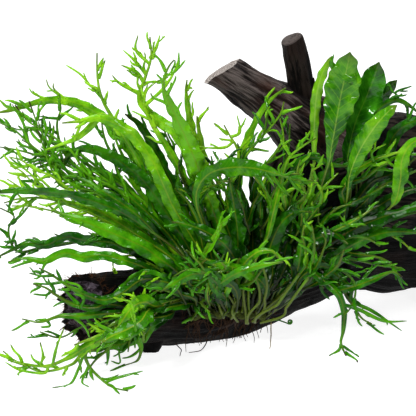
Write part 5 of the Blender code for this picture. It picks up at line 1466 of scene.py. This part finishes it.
def bed_spec(bed, number, row):
    """A row of a bed as a leaf, with wander, roll, ruffle, tone and shade of its own."""
    bed_tone, bed_lace, _ = BEDS[bed]
    width, first, last, colour, tip, burnt, picked = row.split(None, 6)
    width, first, last, tip = float(width), float(first), float(last), float(tip)
    rng = np.random.default_rng(700 + 31 * number + len(bed))
    middle = 0.5 * (first + last) + rng.uniform(-4, 4)
    route = np.array(pixels_of(picked))
    route[0, 1] += rng.uniform(-10, 6)
    route[1:-1] += rng.uniform(-4.5, 4.5, (len(route) - 2, 2))
    spec = leaf(f"{bed}_{number}", width, (first, middle, last), colour, picked, roll=rng.uniform(-50, 50),
                stem=0.14, tip=tip, burnt=float(burnt), rounds=2 if tip < 0.94 else 0,
                ruffle=rng.uniform(0.25, 0.6), lace=bed_lace if tip < 0.9 else None,
                tone=bed_tone + rng.uniform(-0.14, 0.14), shade=rng.uniform(0.5, 0.9))
    return dict(spec, route=route)


bed_leaves, bed_points = 0, 0
for bed, (_, _, text) in BEDS.items():
    specs = [bed_spec(bed, number, row) for number, row in enumerate(text.strip().splitlines())]
    bed_leaves += len(specs)
    for colour, slot in SLOT_OF.items():
        tubes = [tube for spec in specs if spec["colour"] == colour for tube in leaf_tubes(spec)]
        if tubes:
            piece = join_tubes(f"{bed}_{colour}", tubes, LEAF_LOOKS[colour])
            ride_for(piece, slot)
            bed_points += len(piece.data.vertices)
print("leaves in beds:", bed_leaves, "points:", bed_points)

# %% [markdown]
# ## Single leaves between the beds
# A few more leaves stand out by their shape: the thin frond that curls at the far left, the fronds that
# hang over the log's broken end, the crumpled lacy ones in front of the middle, and the young yellow one
# behind the broad leaves. They could go into the beds too, but most have prongs of their own, so they are
# picked like the first ones.

# %% More picked leaves
MORE_LEAVES = [
    leaf("grey_leaf", 12, (-8, 30, 46, 48, 42), "deep",
         "219,299 196,240 178,196 163,165 150,140 138,123 125,114",
         roll=-20, tip=0.98),
    leaf("curled_thin_frond", 3.4, (-22, -40, -44, -38, -34), "deep",
         "206,312 150,262 96,243 50,246 20,252 10,240 9,226 14,216 0,208",
         "0.90 1 2.4 22,214 29,206", tip=0.7, stem=0.6, rounds=1),
    leaf("log_end_frond", 6, (-58, -72, -84, -88, -90), "mid",
         "150,303 132,306 112,304 92,308 72,304 56,295 46,288 33,284",
         "0.86 -1 3 46,295 33,294; 0.6 1 3 84,298 74,294", tip=0.7, stem=0.15, rounds=1),
    # A thin pale leaf whose raised tone paints the highlight along it.
    leaf("pale_thin_leaf", 3.8, (-34, -38, -38, -34), "mid",
         "194,290 199,268 207,248 216,234 224,221",
         tip=0.97, stem=0.3, tone=0.3, shade=0.0, ahead=4),
    leaf("band_leaf", 8, (-20, -40, -50, -52, -50), "mid",
         "207,309 200,300 212,290 230,277 250,268 268,264 283,262",
         "0.5 1 3 222,274; 0.72 1 3 252,260", tip=0.9, stem=0.12),
    leaf("upright_leaf_2", 12, (-8, 2, 10, 12), "deep",
         "246,308 250,272 249,236 245,205 240,184",
         roll=-28, tip=0.95),
    leaf("looped_frond", 4.5, (-4, 6, 16, 16, 14), "bright",
         "249,307 244,262 234,212 236,172 252,148 268,130 280,115 284,102",
         "0.88 -1 3 266,116 270,106", tip=0.7, stem=0.45, rounds=1),
    leaf("broad_leaf_yellow", 9, (10, 26, 30, 30, 28), "bright",
         "319,250 316,200 314,150 315,112 318,88 324,70 332,56",
         roll=10, tip=1.0, stem=0.4, skew=1.6, tone=0.2),
    leaf("lacy_cluster_1", 9, (-30, -48, -56, -54), "deep",
         "226,312 222,294 214,280 200,271 186,270 173,277",
         "0.45 1 3.4 218,268 212,258; 0.60 -1 3.4 198,284 190,290; 0.72 1 3 190,261 182,256", tip=0.62,
         stem=0.12, roll=20, ruffle=0.5),
    leaf("lacy_cluster_2", 9, (-28, -46, -54, -54), "mid",
         "221,312 216,292 209,277 200,264 190,254",
         "0.50 1 3.2 219,266 224,254; 0.66 -1 3 194,270 184,272", tip=0.62, stem=0.12, roll=-25,
         ruffle=0.5),
    leaf("lacy_cluster_3", 8, (-26, -42, -50, -50), "bright",
         "229,312 229,292 222,274 211,262 201,256",
         "0.60 1 3 226,262 228,252; 0.78 -1 2.6 206,270 200,278", tip=0.62, stem=0.15, roll=10, ruffle=0.4),
    leaf("crossing_leaf_1", 10, (-16, -34, -46, -52), "mid",
         "258,312 264,290 254,276 236,268 216,264 198,258",
         tip=0.95, stem=0.15, roll=-14),
    leaf("crossing_leaf_2", 11, (-30, -48, -58, -66), "mid",
         "236,312 230,288 214,276 194,274 176,282 160,292",
         tip=0.93, stem=0.15, roll=16),
    leaf("edge_on_leaf", 8, (-20, -44, -50, -48), "mid",
         "204,304 203,278 204,258 213,244 224,222",
         tip=0.9, stem=0.2, roll=66, tone=0.2),
    leaf("crown_side_leaf", 7, (-6, 16, 26, 30), "mid",
         "222,304 206,240 190,190 170,152 152,124 145,108 146,92 156,82 165,79",
         "0.86 1 4 160,92 172,76 179,58", tip=0.8, stem=0.3, roll=10, rounds=1, tone=0.02),
    leaf("young_upright_leaf", 9, (-4, 20, 30, 28), "bright",
         "228,305 218,244 210,196 204,160 200,136 197,116",
         tip=0.97, stem=0.35, roll=-16),
    leaf("lobed_low_leaf_1", 12, (-50, -66, -78, -80), "bright",
         "172,303 158,306 146,302 134,306 124,318 116,332",
         "0.5 1 5 132,296 122,294; 0.75 -1 5 136,326 140,336", tip=0.9, stem=0.12, roll=14, ruffle=0.5),
    leaf("lobed_low_leaf_2", 11, (-48, -62, -74, -78), "mid",
         "176,304 164,314 150,318 136,316 120,320 104,330",
         "0.55 1 4.5 134,308 126,300; 0.72 -1 4.5 126,332 124,342", tip=0.85, stem=0.12, roll=-18,
         ruffle=0.5),
    leaf("lobed_low_leaf_3", 10, (-50, -64, -76, -84), "bright",
         "166,305 150,324 132,334 112,334 94,338 74,345",
         "0.6 1 4 100,326 88,330; 0.8 -1 3.4 88,350 80,358", tip=0.8, stem=0.12, roll=10, ruffle=0.4),
]
grow_leaves(MORE_LEAVES, from_cad=False)

# %% [markdown]
# ## Root mat and fibres
# Old rhizomes are wrapped in brown wiry roots that creep over the wood, cross each other and end in short
# free hairs under the log, and torn wood ends in a fringe of orange-brown fibres. Fur would cover it
# evenly; these are real tubes from a third of a millimetre to 1.6 mm thick, which leave a place on the
# rhizome and wander down over the visible wood.

# %% Roots over the wood
BARK_TREE = search_tree([trunk, lower, upper])
CREEP_ROWS = 24
LONGEST_STEP = 6 * MM
FARTHEST_BACK = 0.2


def creeping_root(rng, first, reach, drop, thickness, free):
    """A root that wanders over the bark from a pixel, and leaves it for its last free share."""
    steps = np.linspace(0, 1, 7)
    wander = np.cumsum(rng.uniform(-1, 1, (7, 2)), axis=0) * (2.2, 0.8)
    pixels = np.asarray(first) + np.outer(steps, [reach, drop]) + wander * steps[:, None]
    path = path_through(lay_on(spots(pixels, 0), 0.25 * thickness * MM, BARK_TREE), CREEP_ROWS)
    share = np.linspace(0, 1, CREEP_ROWS)
    hang = np.clip((share - (1 - free)) / max(free, 1e-6), 0, 1) ** 1.5
    path = path + hang[:, None] * np.array([rng.uniform(-3, 3), -3.0, -4.0]) * MM
    path[:, 2] = np.maximum(path[:, 2], thickness * MM)
    return path, 0.5 * thickness * MM * np.linspace(1, 0.55, CREEP_ROWS)


def root_mat(name, count, seed, corners, drop, sizes, free_share):
    """Many creeping roots that start between two pixels of a rhizome. One whose line of sight slips past
    the wood, or jumps from one limb to another, is left out."""
    rng = np.random.default_rng(seed)
    tubes = []
    for number in range(count):
        first = np.array(corners[0]) + rng.uniform(0, 1) * (np.array(corners[1]) - corners[0])
        first = first + rng.uniform(-1, 1, 2) * (1, 3)
        free = rng.uniform(0.15, 0.5) if rng.uniform() < free_share else 0.0
        path, radii = creeping_root(rng, first, rng.uniform(-16, 14), rng.uniform(*drop),
                                    rng.uniform(*sizes), free)
        longest = np.max(np.linalg.norm(np.diff(path, axis=0), axis=1))
        if path[:, 1].max() < FARTHEST_BACK and longest < LONGEST_STEP:
            tubes.append(round_tube(path, radii, 6, 0.1, seed + number))
    return ride_for(join_round(name, tubes, root_fibre), "root")


mats = [
    root_mat("root_mat_main", 60, 301, ((190, 318), (270, 317)), (3, 24), (0.6, 1.6), 0.5),
    root_mat("root_mat_upper", 60, 302, ((188, 310), (270, 312)), (-6, 14), (0.5, 1.3), 0.25),
    root_mat("root_mat_left", 40, 303, ((136, 310), (182, 302)), (-3, 12), (0.4, 0.8), 0.3),
    root_mat("root_mat_right", 60, 304, ((300, 270), (344, 238)), (-4, 12), (0.4, 0.8), 0.3),
]
print("root mats:", [piece.name for piece in mats])

# %% Stalks in front of the rhizome
FRONT_STALKS = [
    "231,319 227,300 231,278 240,258",
    "238,322 240,302 236,278 227,262",
    "246,324 242,302 247,278 258,264 270,257",
    "252,322 263,303 267,284 262,264",
    "255,323 272,311 287,291 300,273",
    "260,323 281,313 297,293 309,277",
    "224,318 217,299 206,285 192,278",
    "248,324 258,307 259,288 251,270",
]
stalks = []
for number, route in enumerate(FRONT_STALKS):
    stalks += leaf_tubes(leaf(f"front_stalk_{number}", 2.0, (-22, -34, -36), "mid", route, tip=1.0, stem=0.9,
                              tone=-0.08, shade=0.0, ahead=4))
ride_for(join_tubes("front_stalks", stalks, LEAF_LOOKS["mid"]), SLOT_OF["mid"])
print("front stalks:", len(FRONT_STALKS))

# %% Hanging hairs
HAIRS = [
    "188,338 186,352", "227,336 226,347", "251,334 254,343", "257,330 259,338", "243,336 246,341",
    "214,337 210,343", "265,326 268,333", "199,337 194,344", "236,337 233,343", "222,337 219,342",
]
HAIR_ROWS = 14
rng = np.random.default_rng(311)
hairs = []
for text in HAIRS:
    (x, y), end = pixels_of(text)
    top = lay_on(spots([(x, y - 6)], 0), 0.0, BARK_TREE)[0]
    low = spots([end], top[1] / MM - 4)[0]
    bend = 0.5 * (top + low) + rng.uniform(-1.5, 1.5, 3) * MM
    path = path_through(np.vstack([top, bend, low]), HAIR_ROWS)
    path[:, 2] = np.maximum(path[:, 2], 0.4 * MM)
    hairs.append(round_tube(path, 0.45 * MM * np.linspace(1, 0.5, HAIR_ROWS), 6))
ride_for(join_round("hanging_root_hairs", hairs, root_fibre), "root")
print("hairs:", len(hairs))

# %% The fringe of the broken end
FRINGE_FIBRES = 240
FRINGE_ROWS = 8
FRINGE_WAY = np.array([-0.62, -0.78, 0.08])
fringe_fibre = stem_finish("torn orange-brown wood fibre", "#24140a", "#5e3a1e", 0.75, 420)
rim = points_of(lower)[(LOWER_ROWS - 1) * LOWER_COLUMNS:LOWER_ROWS * LOWER_COLUMNS]
middle = rim.mean(axis=0)
fringe = []
for number in rng.choice(len(rim), FRINGE_FIBRES):
    outward = rim[number] - middle
    outward /= np.linalg.norm(outward)
    way = outward * rng.uniform(0.2, 1.0) + FRINGE_WAY * rng.uniform(0.1, 0.9) + rng.normal(0, 0.35, 3)
    reach = rng.uniform(2, 8) * MM * (1.4 if rim[number][2] > middle[2] else 0.8)
    start = rim[number] - outward * 1.0 * MM
    bend = start + 0.5 * reach * way + rng.normal(0, 0.5, 3) * MM
    path = path_through(np.vstack([start, bend, start + reach * way]), FRINGE_ROWS)
    path[:, 2] = np.maximum(path[:, 2], 0.3 * MM)
    fringe.append(round_tube(path, rng.uniform(0.15, 0.3) * MM * np.linspace(1, 0.4, FRINGE_ROWS), 5))
ride_for(join_round("broken_end_fringe", fringe, fringe_fibre), "driftwood")
print("fringe:", len(fringe))
